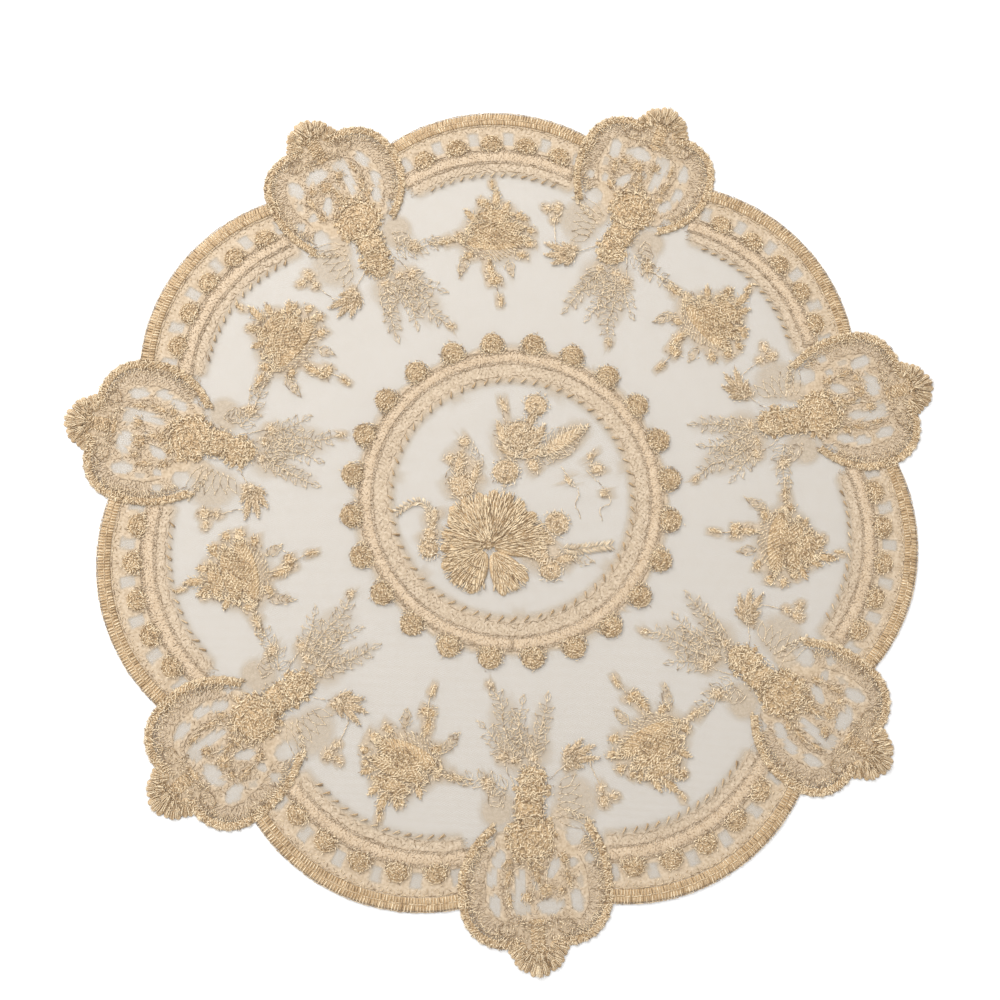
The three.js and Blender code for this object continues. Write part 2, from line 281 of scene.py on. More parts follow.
# One ring of stitches about a centre, at an angle from the radius: 90 is tangential.
def ringOf(centre, radius, length, heading, **look):
    slant = math.radians(heading)
    around = abs(math.sin(slant)) * length * 0.8 + abs(math.cos(slant)) * 0.95
    count = max(4, round(2 * math.pi * radius / around))
    turn = (np.arange(count) + rng.random()) * 2 * math.pi / count
    at = np.asarray(centre, float) + radius * headings(turn)
    half = headings(turn + slant) * length / 2
    return stitches(at - half, at + half, **look)


roseWork = dict(
    z=0.86, closeness=1.05, wobble=0.07,
    tuftGap=3.4, tuftStray=0.25, tuftReach=(0.82, 0.96), tuftSize=(1.1, 1.8),
    swirl=dict(width=0.54, tone=0.74),
    curl=dict(width=0.34, tone=0.0, loose=0.1),
)


# A rose: short stitches every way on a low pad, tufts of them round its rim, swirls of longer ones, and
# dark curls in its middle. A swirl is its share of the radius, the stitches' length and their slant.
def rose(centre, radius, curls, swirls, dome=0.3):
    w = roseWork
    z, closeness = w["z"], w["closeness"]
    halves = (radius - 0.5, radius - 0.5)
    parts = [
        padOval(centre, (radius - 1.4, radius - 1.4), high=z - 0.26 + dome * 0.7),
        grains(centre, halves, closeness, dome=dome, z=z, wobble=w["wobble"]),
    ]
    count = round(2 * math.pi * radius / w["tuftGap"])
    stray = rng.uniform(-w["tuftStray"], w["tuftStray"], count)
    turns = (np.arange(count) + stray) * 2 * math.pi / count
    reaches, sizes = rng.uniform(*w["tuftReach"], count), rng.uniform(*w["tuftSize"], count)
    for turn, out, size in zip(turns, reaches, sizes):
        aim = math.degrees(turn)
        tuft = np.asarray(centre, float) + radius * out * np.array([math.cos(turn), math.sin(turn)])
        parts.append(padOval(tuft, (size, size * 0.7), aim, high=z - 0.14, steps=5))
        parts.append(grains(tuft, (size + 0.3, size), closeness, aim=aim, z=z, dome=0.1))
    for reach, length, heading in swirls:
        lift = z + dome * (1 - reach**2) + 0.08
        parts.append(ringOf(centre, radius * reach, length, heading, z=lift, **w["swirl"]))
    for k in range(curls):
        reach = radius * (0.22 + 0.28 * k)
        start = 360 * rng.random()
        curl = arc(centre, reach, start, start + 210 - 60 * k, 20)
        lift = z + dome * (1.05 - (reach / radius) ** 2) + 0.1
        parts.append(cord(curl, 1.1, z=lift, **w["curl"]))
    return sewn(*parts)


# A leaf drawn in thread: its rim in cord stitches and a few slanting ones inside.
def loopLeaf(x, y, aim, length, width, z=0.75):
    axis, left = axesOf(aim)
    u = np.linspace(0, 1, 7)[:, None]
    rim = np.sin(math.pi * u**0.8) * width / 2 * rng.uniform(0.8, 1.15, (7, 1))
    spine = np.array([x, y]) + axis * length * (u - 0.5)
    cut = np.linspace(0.12, 0.8, max(3, round(length / 2.1)))[:, None]
    inside = np.array([x, y]) + axis * length * (cut - 0.5)
    reach = np.sin(math.pi * (cut + 0.1) ** 0.8) * width * 0.36
    parts = []
    for side in (1, -1):
        edge = spine + left * rim * side
        parts.append(cord(edge, 1.25, z=z, width=0.46, loose=0.3, tone=0.6))
    for side in (1, -1):
        outer = inside + axis * 1.3 + left * reach * side
        parts.append(stitches(inside, outer, z=z - 0.08, width=0.42, tone=0.75, loose=0.3))
    return sewn(*parts)


# A loop of thin thread, pointed at both ends and widest before its middle.
def loop(foot, aim, length, breadth, z, tone):
    axis, left = axesOf(aim)
    u = np.linspace(0, 1, 6)[:, None]
    spine = np.asarray(foot) + axis * length * u
    bulge = left * np.sin(math.pi * u**0.8) * breadth / 2
    return [cord(spine + bulge * half, 1.4, z=z, width=0.38, tone=tone, loose=0.14) for half in (1, -1)]


laurelWork = dict(
    length=4.9, breadth=3.1, gap=4.2, angle=50.0, uneven=6,    # of the leaves
    tapering=0.4,                                              # how much smaller the last leaf is
    z=0.66, tone=0.6,
    stem=dict(width=0.42, loose=0.2),
    vein=dict(width=0.34, loose=0.2, tone=0.8),
)


# A stem with loops of thin thread on both sides, drawn like laurel leaves, that grow smaller to its tip.
def laurel(way):
    w = laurelWork
    z, tone = w["z"], w["tone"]
    at, ahead = evenly(way, w["gap"])
    parts = [cord(way, 1.4, z=z, tone=tone, **w["stem"])]
    for k in range(len(at)):
        share = 1 - w["tapering"] * k / len(at)
        for side in (1, -1) if k < len(at) - 1 else (0,):
            aim = aimOf(ahead[k]) + w["angle"] * side + rng.normal(0, w["uneven"])
            tip = at[k] + w["length"] * share * 0.8 * axesOf(aim)[0]
            vein = (at[k] + (tip - at[k]) * 0.25, tip)
            parts += loop(at[k], aim, w["length"] * share, w["breadth"] * share, z, tone)
            parts.append(cord(vein, 1.8, z=z - 0.06, **w["vein"]))
    return sewn(*parts)


sprigWork = dict(angle=48.0, shifts=(0.0, 0.6, 1.1))    # of the leaflets from the stalk, and along it


# A stalk of cord stitches with leaflets of three stitches on both sides.
def sprig(way, leaflet, gap, width, z=0.75, **look):
    w = sprigWork
    at, ahead = evenly(way, gap)
    parts = [cord(way, 1.4, z=z, width=0.5, **look)]
    for side in (1, -1):
        turned = ahead @ np.array(axesOf(w["angle"] * side))
        for shift in w["shifts"]:
            foot = at[1:] + ahead[1:] * shift
            tip = at[1:] + turned[1:] * leaflet * (1 - 0.25 * shift) + ahead[1:] * shift
            parts.append(stitches(foot, tip, z=z + 0.08, width=width, **look))
    return sewn(*parts)


# A petal of long stitches that fan out from its foot in tiers; the rim is a half cosine.
def petalFan(foot, aim, length, spread, tiers, pitch, dome, z=0.95, start=0.1, rounding=0.13, frayed=0.04,
             **look):
    parts = []
    centre = np.asarray(foot, float)
    a = math.radians(aim)
    half = math.radians(spread / 2)
    for share in (-0.6, 0, 0.6):
        turn = a + share * half
        middle = centre + 0.52 * length * np.array([math.cos(turn), math.sin(turn)])
        size = (length * 0.46, length * 0.3 * math.sin(half) + 0.5)
        parts.append(padOval(middle, size, math.degrees(turn), high=z - 0.2 + dome * 0.5))
    cuts = np.linspace(start, 1.0, tiers + 1)
    for k in range(tiers):
        near, far = cuts[k] - (0.06 if k else 0), cuts[k + 1]
        count = max(3, round(2 * half * length * (near + far) / 2 / pitch))
        share = np.linspace(-1, 1, count) + rng.normal(0, 0.03, count)
        turn = a + share * half
        rim = length * (1 - rounding * share**2)
        way = headings(turn)
        ragged = rng.uniform(-frayed, frayed, count)
        lift = z + dome * math.sin(math.pi * (0.25 + 0.6 * (near + far) / 2))
        inner = centre + way * (rim * (near + ragged))[:, None]
        outer = centre + way * (rim * (far + ragged))[:, None]
        parts.append(stitches(inner, outer, z=lift, bow=petalBow * np.sign(share), **look))
    return sewn(*parts)


seedLook = dict(width=0.72, rise=0.3, loose=0.1, uneven=0.1, shaded=0.0)


# A seed of thread: a long stitch with a shorter one laid beside its foot.
def seeds(at, aims, length, tone=0.2):
    at = np.asarray(at, float)
    axis = headings(np.radians(aims + rng.normal(0, 7, len(at))))
    foot = at + leftOf(axis) * 0.4
    long = stitches(at - axis * length * 0.5, at + axis * length * 0.5, z=0.9, tone=tone, **seedLook)
    short = stitches(foot - axis * length * 0.46, foot + axis * length * 0.12, z=0.7, tone=tone, **seedLook)
    return np.concatenate([long, short])


# Meshes

sides = 3          # of a stitch, one corner up
padSides = 5
stitchFlatness = 0.8                                # height of a stitch as a share of its width
shortCuts = np.array([0.0, 0.2, 0.8, 1.0])          # shares of a stitch at its ends and rings
longCuts = np.array([0.0, 0.12, 0.5, 0.88, 1.0])    # and of one longer than this many millimetres
longFrom = 2.6


# Triangles of a tube of rings with a pole at each end, and where each corner lies round the tube.
def tubeFaces(rings, sides):
    ring, side = np.meshgrid(np.arange(rings - 1), np.arange(sides), indexing="ij")
    ring, side = ring.ravel(), side.ravel()

    def corner(r, s):
        return 1 + r * sides + s % sides

    def stacked(groups):
        return np.concatenate([np.column_stack(g) for g in groups])

    a, b = corner(ring, side), corner(ring, side + 1)
    c, d = corner(ring + 1, side + 1), corner(ring + 1, side)
    s = np.arange(sides)
    first, last, end = 0 * s, np.full(sides, 1 + rings * sides), rings - 1
    faces = [
        (a, b, c), (a, c, d),
        (first, corner(0, s + 1), corner(0, s)), (last, corner(end, s), corner(end, s + 1)),
    ]
    rounds = [
        (side, side + 1, side + 1), (side, side + 1, side),
        (s + 0.5, s + 1, s), (s + 0.5, s, s + 1),
    ]
    return stacked(faces), stacked(rounds) / sides


# Each stitch is a grain: its radius follows a root of the half sine from end to end, its middle is
# raised and bowed by four times share times one less share.
def stitchArrays(rows, t):
    run = rows[:, 2:4] - rows[:, 0:2]
    length = np.maximum(np.linalg.norm(run, axis=1), 0.05)
    left = leftOf(run / length[:, None])
    hump = 4 * t * (1 - t)
    bend = left[:, None] * (rows[:, 7, None] * hump)[..., None]
    flat = rows[:, None, 0:2] + run[:, None] * t[:, None] + bend
    height = rows[:, 4, None] + rows[:, 6, None] * hump
    middle = np.concatenate([flat, height[..., None]], axis=2)
    turn = 2 * math.pi * np.arange(sides) / sides + math.pi / 2
    girth = rows[:, 5, None] / 2 * np.sin(math.pi * t[1:-1]) ** 0.45
    outwards = np.concatenate([left, np.zeros((len(rows), 1))], axis=1)
    ring = middle[:, 1:-1, None] + (girth[..., None] * np.cos(turn))[..., None] * outwards[:, None, None]
    ring[..., 2] += girth[..., None] * stitchFlatness * np.sin(turn)
    rings = ring.reshape(len(rows), (len(t) - 2) * sides, 3)
    points = np.concatenate([middle[:, :1], rings, middle[:, -1:]], axis=1)
    share = np.concatenate([[0.0], np.repeat(t[1:-1], sides), [1.0]])
    faces, rounds = tubeFaces(len(t) - 2, sides)
    size = points.shape[1]
    allFaces = (faces[None] + np.arange(len(rows))[:, None, None] * size).reshape(-1, 3)
    u = length[:, None, None] * share[faces][None]
    uv = np.stack(np.broadcast_arrays(u, rounds[None]), axis=-1).reshape(-1, 2)
    return points.reshape(-1, 3), allFaces, uv, np.repeat(rows[:, 8], size)


# Padding is a closed ribbon: half an oval over a flat underside, carried along its line.
def padArrays(pad):
    at, half, low, high, tone = pad[:, :2], *pad[:, 2:].T
    slope = np.gradient(at, axis=0)
    left = leftOf(slope / np.maximum(np.linalg.norm(slope, axis=1), 1e-6)[:, None])
    turn = math.pi * np.arange(padSides) / (padSides - 1)
    flat = at[:, None] + left[:, None] * (half[:, None] * np.cos(turn))[..., None]
    height = low[:, None] + (high - low)[:, None] * np.sin(turn) ** 0.5
    ring = np.concatenate([flat, height[..., None]], axis=2)
    ends = [np.concatenate([at[k], [low[k]]])[None] for k in (0, -1)]
    points = np.concatenate([ends[0], ring.reshape(-1, 3), ends[1]])
    faces, rounds = tubeFaces(len(at), padSides)
    gone = np.concatenate([[0], np.cumsum(np.linalg.norm(np.diff(at, axis=0), axis=1))])
    along = np.concatenate([[0], np.repeat(gone, padSides), gone[-1:]])
    uv = np.stack([along[faces], rounds], axis=-1).reshape(-1, 2)
    return points, faces, uv, np.full(len(points), tone[0])


def meshPiece(name, points, faces, uv, tones, material):
    mesh = bpy.data.meshes.new(name)
    mesh.vertices.add(len(points))
    mesh.vertices.foreach_set("co", np.ascontiguousarray(points * mm, np.float32).ravel())
    mesh.loops.add(len(faces) * 3)
    mesh.loops.foreach_set("vertex_index", np.ascontiguousarray(faces, np.int32).ravel())
    mesh.polygons.add(len(faces))
    mesh.polygons.foreach_set("loop_start", np.arange(len(faces), dtype=np.int32) * 3)
    mesh.polygons.foreach_set("use_smooth", np.ones(len(faces), bool))
    layer = mesh.uv_layers.new(name="thread")
    layer.data.foreach_set("uv", np.ascontiguousarray(uv, np.float32).ravel())
    toneLayer = mesh.attributes.new("tone", "FLOAT", "POINT")
    toneLayer.data.foreach_set("value", np.clip(tones, 0, 1).astype(np.float32))
    mesh.update(calc_edges=True)
    mesh.validate()
    mesh.materials.append(material)
    piece = bpy.data.objects.new(name, mesh)
    bpy.context.scene.collection.objects.link(piece)
    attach(piece, "root")
    return piece


def embroidery(name, work, material):
    rows, pads = work
    long = np.linalg.norm(rows[:, 2:4] - rows[:, 0:2], axis=1) > longFrom
    groups = [stitchArrays(rows[~long], shortCuts), stitchArrays(rows[long], longCuts)]
    groups += [padArrays(p) for p in pads]
    points, faces, uv, tones = zip(*groups)
    firsts = np.cumsum([0] + [len(p) for p in points])
    faces = np.concatenate([f + first for f, first in zip(faces, firsts)])
    meshPiece(name, np.concatenate(points), faces, np.concatenate(uv), np.concatenate(tones), material)
    print(name, len(rows), "stitches,", len(pads), "pads,", len(faces), "triangles")


# Materials

# Feeds a node's inputs by name or place: an output is linked, a number or a colour is set.
def feed(tree, node, inputs):
    for label, value in inputs.items():
        socket = node.inputs[label]
        if isinstance(value, bpy.types.NodeSocket):
            tree.links.new(value, socket)
        else:
            socket.default_value = (*value, 1) if isinstance(value, tuple) else value


def newNode(tree, kind, inputs=None, **settings):
    node = tree.nodes.new("ShaderNode" + kind)
    for label, value in settings.items():
        setattr(node, label, value)
    feed(tree, node, inputs or {})
    return node


def mathNode(tree, operation, *values):
    return newNode(tree, "Math", dict(enumerate(values)), operation=operation).outputs[0]


def mixNode(tree, share, a, b):
    mix = newNode(tree, "Mix", data_type="RGBA")
    feed(tree, mix, {"Factor": share, "A": a, "B": b})
    return mix.outputs["Result"]


def placeOf(tree):
    return newNode(tree, "TexCoord").outputs["Object"]


def noiseNode(tree, place, scale, detail=2):
    return newNode(tree, "TexNoise", {"Vector": place, "Scale": scale, "Detail": detail})


def toneOf(tree):
    return newNode(tree, "Attribute", attribute_name="tone").outputs["Fac"]


def bumpNode(tree, strength, distance, height):
    given = {"Strength": strength, "Distance": distance, "Height": height}
    return newNode(tree, "Bump", given).outputs["Normal"]


# A node group whose inputs are given with their first values.
def groupOf(name, inputs, colours, numbers):
    tree = bpy.data.node_groups.new(name, "ShaderNodeTree")
    for label, value in inputs.items():
        kind = "NodeSocketColor" if isinstance(value, tuple) else "NodeSocketFloat"
        socket = tree.interface.new_socket(name=label, in_out="INPUT", socket_type=kind)
        socket.default_value = (*value, 1) if isinstance(value, tuple) else value
    for label in (*colours, *numbers):
        kind = "NodeSocketColor" if label in colours else "NodeSocketFloat"
        tree.interface.new_socket(name=label, in_out="OUTPUT", socket_type=kind)
    return tree, tree.nodes.new("NodeGroupInput").outputs, tree.nodes.new("NodeGroupOutput")


threadDetail = dict(
    fibres=5200, patches=260, specks=1700,      # scales of the noises
    plyShade=0.16,                              # painted highlight and shade: how much lighter the top of a ply is than its grooves
    patchShade=0.5, shadeLevel=0.33,            # and a patch, less this level
    speckBelow=0.46, speckDepth=5.0,            # painted shade of small gaps: dark specks where the noise is low
    shadowSpeed=8.0, shadowFloor=0.3,           # how soon a low tone leaves the painted deep shade
    fibreHeight=0.5,                            # of the height of a ply
    roughness=0.5, fibreRoughness=0.25,
)


# Twisted yarn: two plies that wind along the stitch's own map, fine fibres, and a colour by its tone.
# Painted light and shade: ply tops lighter than their grooves, dark specks as shade in small gaps,
# and the lowest tones turned to the deep colour as shade between threads.
def makeYarnGroup():
    w = threadDetail
    tree, given, result = groupOf(
        "twistedYarn",
        {"Deep": (0.2, 0.12, 0.05), "Dark": (0.4, 0.3, 0.2), "Light": (0.8, 0.7, 0.5), "Twist": 1.1},
        ["Colour"], ["Height", "Roughness"],
    )
    uv = newNode(tree, "UVMap", uv_map="thread")
    parts = newNode(tree, "SeparateXYZ", {0: uv.outputs[0]})
    wound = mathNode(tree, "MULTIPLY", parts.outputs[0], 2 * math.pi)
    wound = mathNode(tree, "DIVIDE", wound, given["Twist"])
    wound = mathNode(tree, "MULTIPLY_ADD", parts.outputs[1], 4 * math.pi, wound)
    ply = mathNode(tree, "MULTIPLY_ADD", mathNode(tree, "SINE", wound), 0.5, 0.5)
    place = placeOf(tree)
    fibre = noiseNode(tree, place, w["fibres"], 3).outputs["Fac"]
    patch = noiseNode(tree, place, w["patches"]).outputs["Fac"]
    speck = noiseNode(tree, place, w["specks"]).outputs["Fac"]
    tone = toneOf(tree)
    # painted shade: dark specks where the noise is low
    gapShade = mathNode(tree, "SUBTRACT", w["speckBelow"], speck)
    gapShade = mathNode(tree, "MAXIMUM", mathNode(tree, "MULTIPLY", gapShade, w["speckDepth"]), 0.0)
    shade = mathNode(tree, "MULTIPLY_ADD", ply, w["plyShade"], mathNode(tree, "SUBTRACT", tone, gapShade))
    shade = mathNode(tree, "SUBTRACT", shade, w["shadeLevel"])
    shade = mathNode(tree, "MULTIPLY_ADD", patch, w["patchShade"], shade)
    lit = mathNode(tree, "MULTIPLY_ADD", tone, w["shadowSpeed"], w["shadowFloor"])
    thread = mixNode(tree, shade, given["Dark"], given["Light"])
    feed(tree, result, {
        "Colour": mixNode(tree, lit, given["Deep"], thread),
        "Height": mathNode(tree, "MULTIPLY_ADD", fibre, w["fibreHeight"], ply),
        "Roughness": mathNode(tree, "MULTIPLY_ADD", fibre, w["fibreRoughness"], w["roughness"]),
    })
    return tree


netLook = dict(
    colour=(0.415, 0.35, 0.266),                                # bare net
    darned=(0.6, 0.495, 0.375), worn=(0.44, 0.335, 0.225),      # and its mottles
    ground=(0.54, 0.43, 0.3), groundWorn=(0.38, 0.28, 0.18),    # sewn over, and its mottles
    pitch=0.00048, thread=0.24,                                 # of the mesh: metres, share of the pitch
    drift=0.6, driftScale=90,                                   # how far the mesh strays, in cells
    grain=1100, ragged=0.5,                                     # noise of the darned edge
    wornContrast=2.4, wornLevel=-0.75,
    bump=0.4, bumpDepth=0.00008, roughness=0.8, specular=0.2,
)


# Hexagonal net: the distance to the nearest wall of a honeycomb, worked out on two shifted grids.
def makeNetGroup():
    tree, given, result = groupOf(
        "hexNet", {"Pitch": 0.00075, "Thread": 0.2, "Drift": 0.2}, [], ["Mask", "Height"],
    )
    place = placeOf(tree)
    parts = newNode(tree, "SeparateXYZ", {0: place})
    drift = noiseNode(tree, place, netLook["driftScale"])
    lean = newNode(tree, "SeparateColor", {0: drift.outputs["Color"]})
    flat = []
    for k in (0, 1):
        cells = mathNode(tree, "DIVIDE", parts.outputs[k], given["Pitch"])
        strayed = mathNode(tree, "MULTIPLY", lean.outputs[k], given["Drift"])
        flat.append(mathNode(tree, "ADD", cells, strayed))
    tall = math.sqrt(3)

    def cellWall(shift):
        x = mathNode(tree, "ADD", flat[0], 0.5 * shift)
        y = mathNode(tree, "ADD", flat[1], 0.5 * tall * shift)
        x = mathNode(tree, "SUBTRACT", mathNode(tree, "FLOORED_MODULO", x, 1.0), 0.5)
        y = mathNode(tree, "SUBTRACT", mathNode(tree, "FLOORED_MODULO", y, tall), tall / 2)
        x, y = mathNode(tree, "ABSOLUTE", x), mathNode(tree, "ABSOLUTE", y)
        slant = mathNode(tree, "MULTIPLY_ADD", y, tall / 2, mathNode(tree, "MULTIPLY", x, 0.5))
        return mathNode(tree, "SUBTRACT", 0.5, mathNode(tree, "MAXIMUM", x, slant))

    wall = mathNode(tree, "MAXIMUM", cellWall(0), cellWall(1))
    half = mathNode(tree, "MULTIPLY", given["Thread"], 0.5)
    feed(tree, result, {
        "Mask": mathNode(tree, "LESS_THAN", wall, half),
        "Height": mathNode(tree, "SUBTRACT", half, wall),
    })
    return tree


yarnGroup = makeYarnGroup()
netGroup = makeNetGroup()


def newMaterial(name):
    material = bpy.data.materials.new(name)
    material.use_nodes = True
    tree = material.node_tree
    return material, tree, tree.nodes["Principled BSDF"]


yarnBump = 0.00012    # metres between the foot and the top of a ply
sheenRoughness = 0.4
yarnSpecular = 0.35


def yarnMaterial(name, deep, dark, light, twist, bump, sheen):
    material, tree, shader = newMaterial(name)
    given = {"Deep": deep, "Dark": dark, "Light": light, "Twist": twist}
    yarn = newNode(tree, "Group", node_tree=yarnGroup)
    feed(tree, yarn, given)
    feed(tree, shader, {
        "Base Color": yarn.outputs["Colour"],
        "Roughness": yarn.outputs["Roughness"],
        "Normal": bumpNode(tree, bump, yarnBump, yarn.outputs["Height"]),
        "Sheen Weight": sheen,
        "Sheen Roughness": sheenRoughness,
        "Specular IOR Level": yarnSpecular,
    })
    return material


# Colours of the thread: deep is painted shade between threads, and dark and light are the ends of its tone,
# which holds its uneven colour and painted light and shade.
yarnLook = dict(
    deep=(0.16, 0.085, 0.03), dark=(0.43, 0.285, 0.145), light=(1.0, 0.84, 0.59),
    twist=1.1, bump=0.4, sheen=0.25,
)
softLook = dict(
    deep=(0.2, 0.12, 0.055), dark=(0.5, 0.36, 0.21), light=(0.98, 0.83, 0.61),
    twist=1.1, bump=0.3, sheen=0.25,
)
flatLook = dict(
    deep=(0.2, 0.12, 0.055), dark=(0.39, 0.275, 0.165), light=(0.73, 0.6, 0.445),
    twist=1.0, bump=0.3, sheen=0.2,
)
raisedYarn = yarnMaterial("raised_yarn", **yarnLook)
softYarn = yarnMaterial("soft_yarn", **softLook)
flatYarn = yarnMaterial("flat_yarn", **flatLook)


# Bare mesh lets the table through its cells. As the tone of the sheet goes to a half it is darned shut,
# with an edge made ragged by noise, and from there to one it is sewn over more closely.
def makeNetMaterial():
    w = netLook
    material, tree, shader = newMaterial("net_thread")
    net = newNode(tree, "Group", node_tree=netGroup)
    feed(tree, net, {"Pitch": w["pitch"], "Thread": w["thread"], "Drift": w["drift"]})
    noise = noiseNode(tree, placeOf(tree), w["grain"], 3).outputs["Fac"]
    ragged = mathNode(tree, "MULTIPLY_ADD", noise, w["ragged"], -0.5 * w["ragged"])
    twice = mathNode(tree, "MULTIPLY", toneOf(tree), 2.0)
    shut = mathNode(tree, "MINIMUM", twice, 1.0)
    sewnOver = mathNode(tree, "MAXIMUM", mathNode(tree, "SUBTRACT", twice, 1.0), 0.0)
    darned = mathNode(tree, "MULTIPLY", shut, mathNode(tree, "ADD", ragged, 1.0))
    worn = mathNode(tree, "MULTIPLY_ADD", noise, w["wornContrast"], w["wornLevel"])
    darnedMottle = mixNode(tree, worn, w["worn"], w["darned"])
    groundMottle = mixNode(tree, worn, w["groundWorn"], w["ground"])
    cover = mixNode(tree, sewnOver, darnedMottle, groundMottle)
    height = mathNode(tree, "MULTIPLY_ADD", noise, shut, net.outputs["Height"])
    feed(tree, shader, {
        "Base Color": mixNode(tree, darned, w["colour"], cover),
        "Alpha": mathNode(tree, "MAXIMUM", net.outputs["Mask"], darned),
        "Roughness": w["roughness"],
        "Specular IOR Level": w["specular"],
        "Normal": bumpNode(tree, w["bump"], w["bumpDepth"], height),
    })
    return material


print("materials ready")


# Filled shapes. Rows of tables give x, y, half sizes and aim.

# A cluster of grains on a soft pad: an oval, or a leaf with pointed ends where it is much longer than
# wide.
def cluster(x, y, a, b, aim=0.0, z=0.8, dome=0.24, **look):
    look = {"tone": 0.74, **look}
    if max(a, b) > 1.5 * min(a, b):
        turned = aim if a > b else aim + 90
        return leafGrains(x, y, turned, 2 * max(a, b), 2.2 * min(a, b), z=z, **look)
    return sewn(
        padOval((x, y), (max(a - 0.6, 0.4), max(b - 0.6, 0.4)), aim, high=z - 0.24 + dome * 0.6),
        grains((x, y), (a * 1.06, b * 1.06), 1.1, aim=aim, z=z, dome=dome, wobble=0.16, **look),
    )


# A leaf filled with grains that slant out from its vein, between rims of half sines.
def leafGrains(x, y, aim, length, breadth, closeness=1.1, z=0.82, grain=1.4, slant=38.0, **look):
    count = max(6, round(0.62 * length * breadth * closeness))
    u = (np.arange(count) + 0.5) / count
    offset = goldenSteps(count, 0.2)
    half = np.sin(math.pi * u**0.85) * breadth / 2
    axis, left = axesOf(aim)
    at = np.array([x, y]) + axis * (length * (u - 0.5))[:, None] + left * (offset * half)[:, None]
    way = math.radians(aim) + np.radians(np.sign(offset) * slant + rng.normal(0, 22, count))
    reach = headings(way) * (grain * rng.uniform(0.75, 1.2, count) / 2)[:, None]
    pad = padOval((x, y), (length * 0.42, breadth * 0.26), aim, high=z - 0.1)
    return sewn(pad, stitches(at - reach, at + reach, z=z + 0.25 * (1 - offset**2), **look))


# Scallops: corded edge, rosettes, rails and seeds

edgeWork = dict(
    halfAngle=35.4, rim=75.3, split=72.5, foot=69.9, cordAt=69.6, pitch=1.15,
    # the pad's low tone is painted shade between the edge's stitches
    pad=dict(high=0.66, tone=0.14),
    outer=dict(lean=0.3, z=0.84, width=0.6, tone=0.5, loose=0.07),
    inner=dict(lean=-0.25, z=0.9, width=0.64, tone=0.5, loose=0.07),
    rimCord=dict(pitch=1.5, z=0.6, width=0.5, tone=0.4, loose=0.1),
    splitCord=dict(pitch=1.6, z=0.96, width=0.34, tone=0.75),
    footCord=dict(pitch=1.3, z=0.66, width=0.5, tone=0.5, loose=0.2),
)
railWork = dict(outer=69.3, middle=64.2, inner=60.6, leftEnd=33.6, rightEnd=30.0)   # about railCentre
rosetteWork = dict(at=62.0, count=5, step=13.4, radius=5.0, breadth=1.1)
seedWork = dict(at=58.4, count=13, span=50.0, length=3.3, aim=42, turning=0.5, tone=0.42, faded=0.3)
scallopCentre = matLayout["scallop"][:2]
railCentre = (0.0, 75.9)   # the rails are flatter than the rim


# An arc of a scallop at a radius, from its left end to its right end, in degrees from its middle.
def scallopArc(radius, left, right=None, centre=scallopCentre):
    return arc(centre, radius, 90 + left, 90 - (left if right is None else right), 3.0)


def scallopEdge():
    w = edgeWork
    middle = (w["rim"] + w["foot"]) / 2
    line = scallopArc(middle, w["halfAngle"])
    far, split, near = w["rim"] - middle, w["split"] - middle, w["foot"] - middle
    return sewn(
        padLine(line, (w["rim"] - w["foot"]) / 2 - 0.1, **w["pad"]),
        across(line, split + 0.1, far + 0.25, w["pitch"], **w["outer"]),
        across(line, near, split - 0.1, w["pitch"], **w["inner"]),
        cord(scallopArc(w["rim"] + 0.05, w["halfAngle"]), **w["rimCord"]),
        cord(scallopArc(w["split"], w["halfAngle"]), **w["splitCord"]),
        cord(scallopArc(w["cordAt"], w["halfAngle"]), **w["footCord"]),
    )


# Places on a circle of a scallop, in degrees to the right of its middle.
def onScallop(radius, turns, centre=scallopCentre):
    a = np.radians(turns)
    return np.column_stack([radius * np.sin(a), centre[1] + radius * np.cos(a)])


shellWork = dict(
    foot=0.5, top=1.36,             # shares of the radius: middle to foot, and foot to the last arc
    broad=0.78,                     # breadth of an arc as a share of its reach
    first=1.3, gap=1.1,             # reach of the first arc, and between arcs
    halfAngle=100, narrowing=22,    # degrees to each side at the first arc, and how much less at the last
    perReach=2.8, fewest=4,         # stitches of an arc
    leans=(120, 50), tones=(0.6, 0.72),    # of even and odd arcs
    leanSpread=0.4, half=0.66, width=0.52,
    z=0.88, dome=0.32,
    darkArcs=(1, 3, 5), darkHalf=0.5, darkWidth=0.34, darkRise=0.26,
)


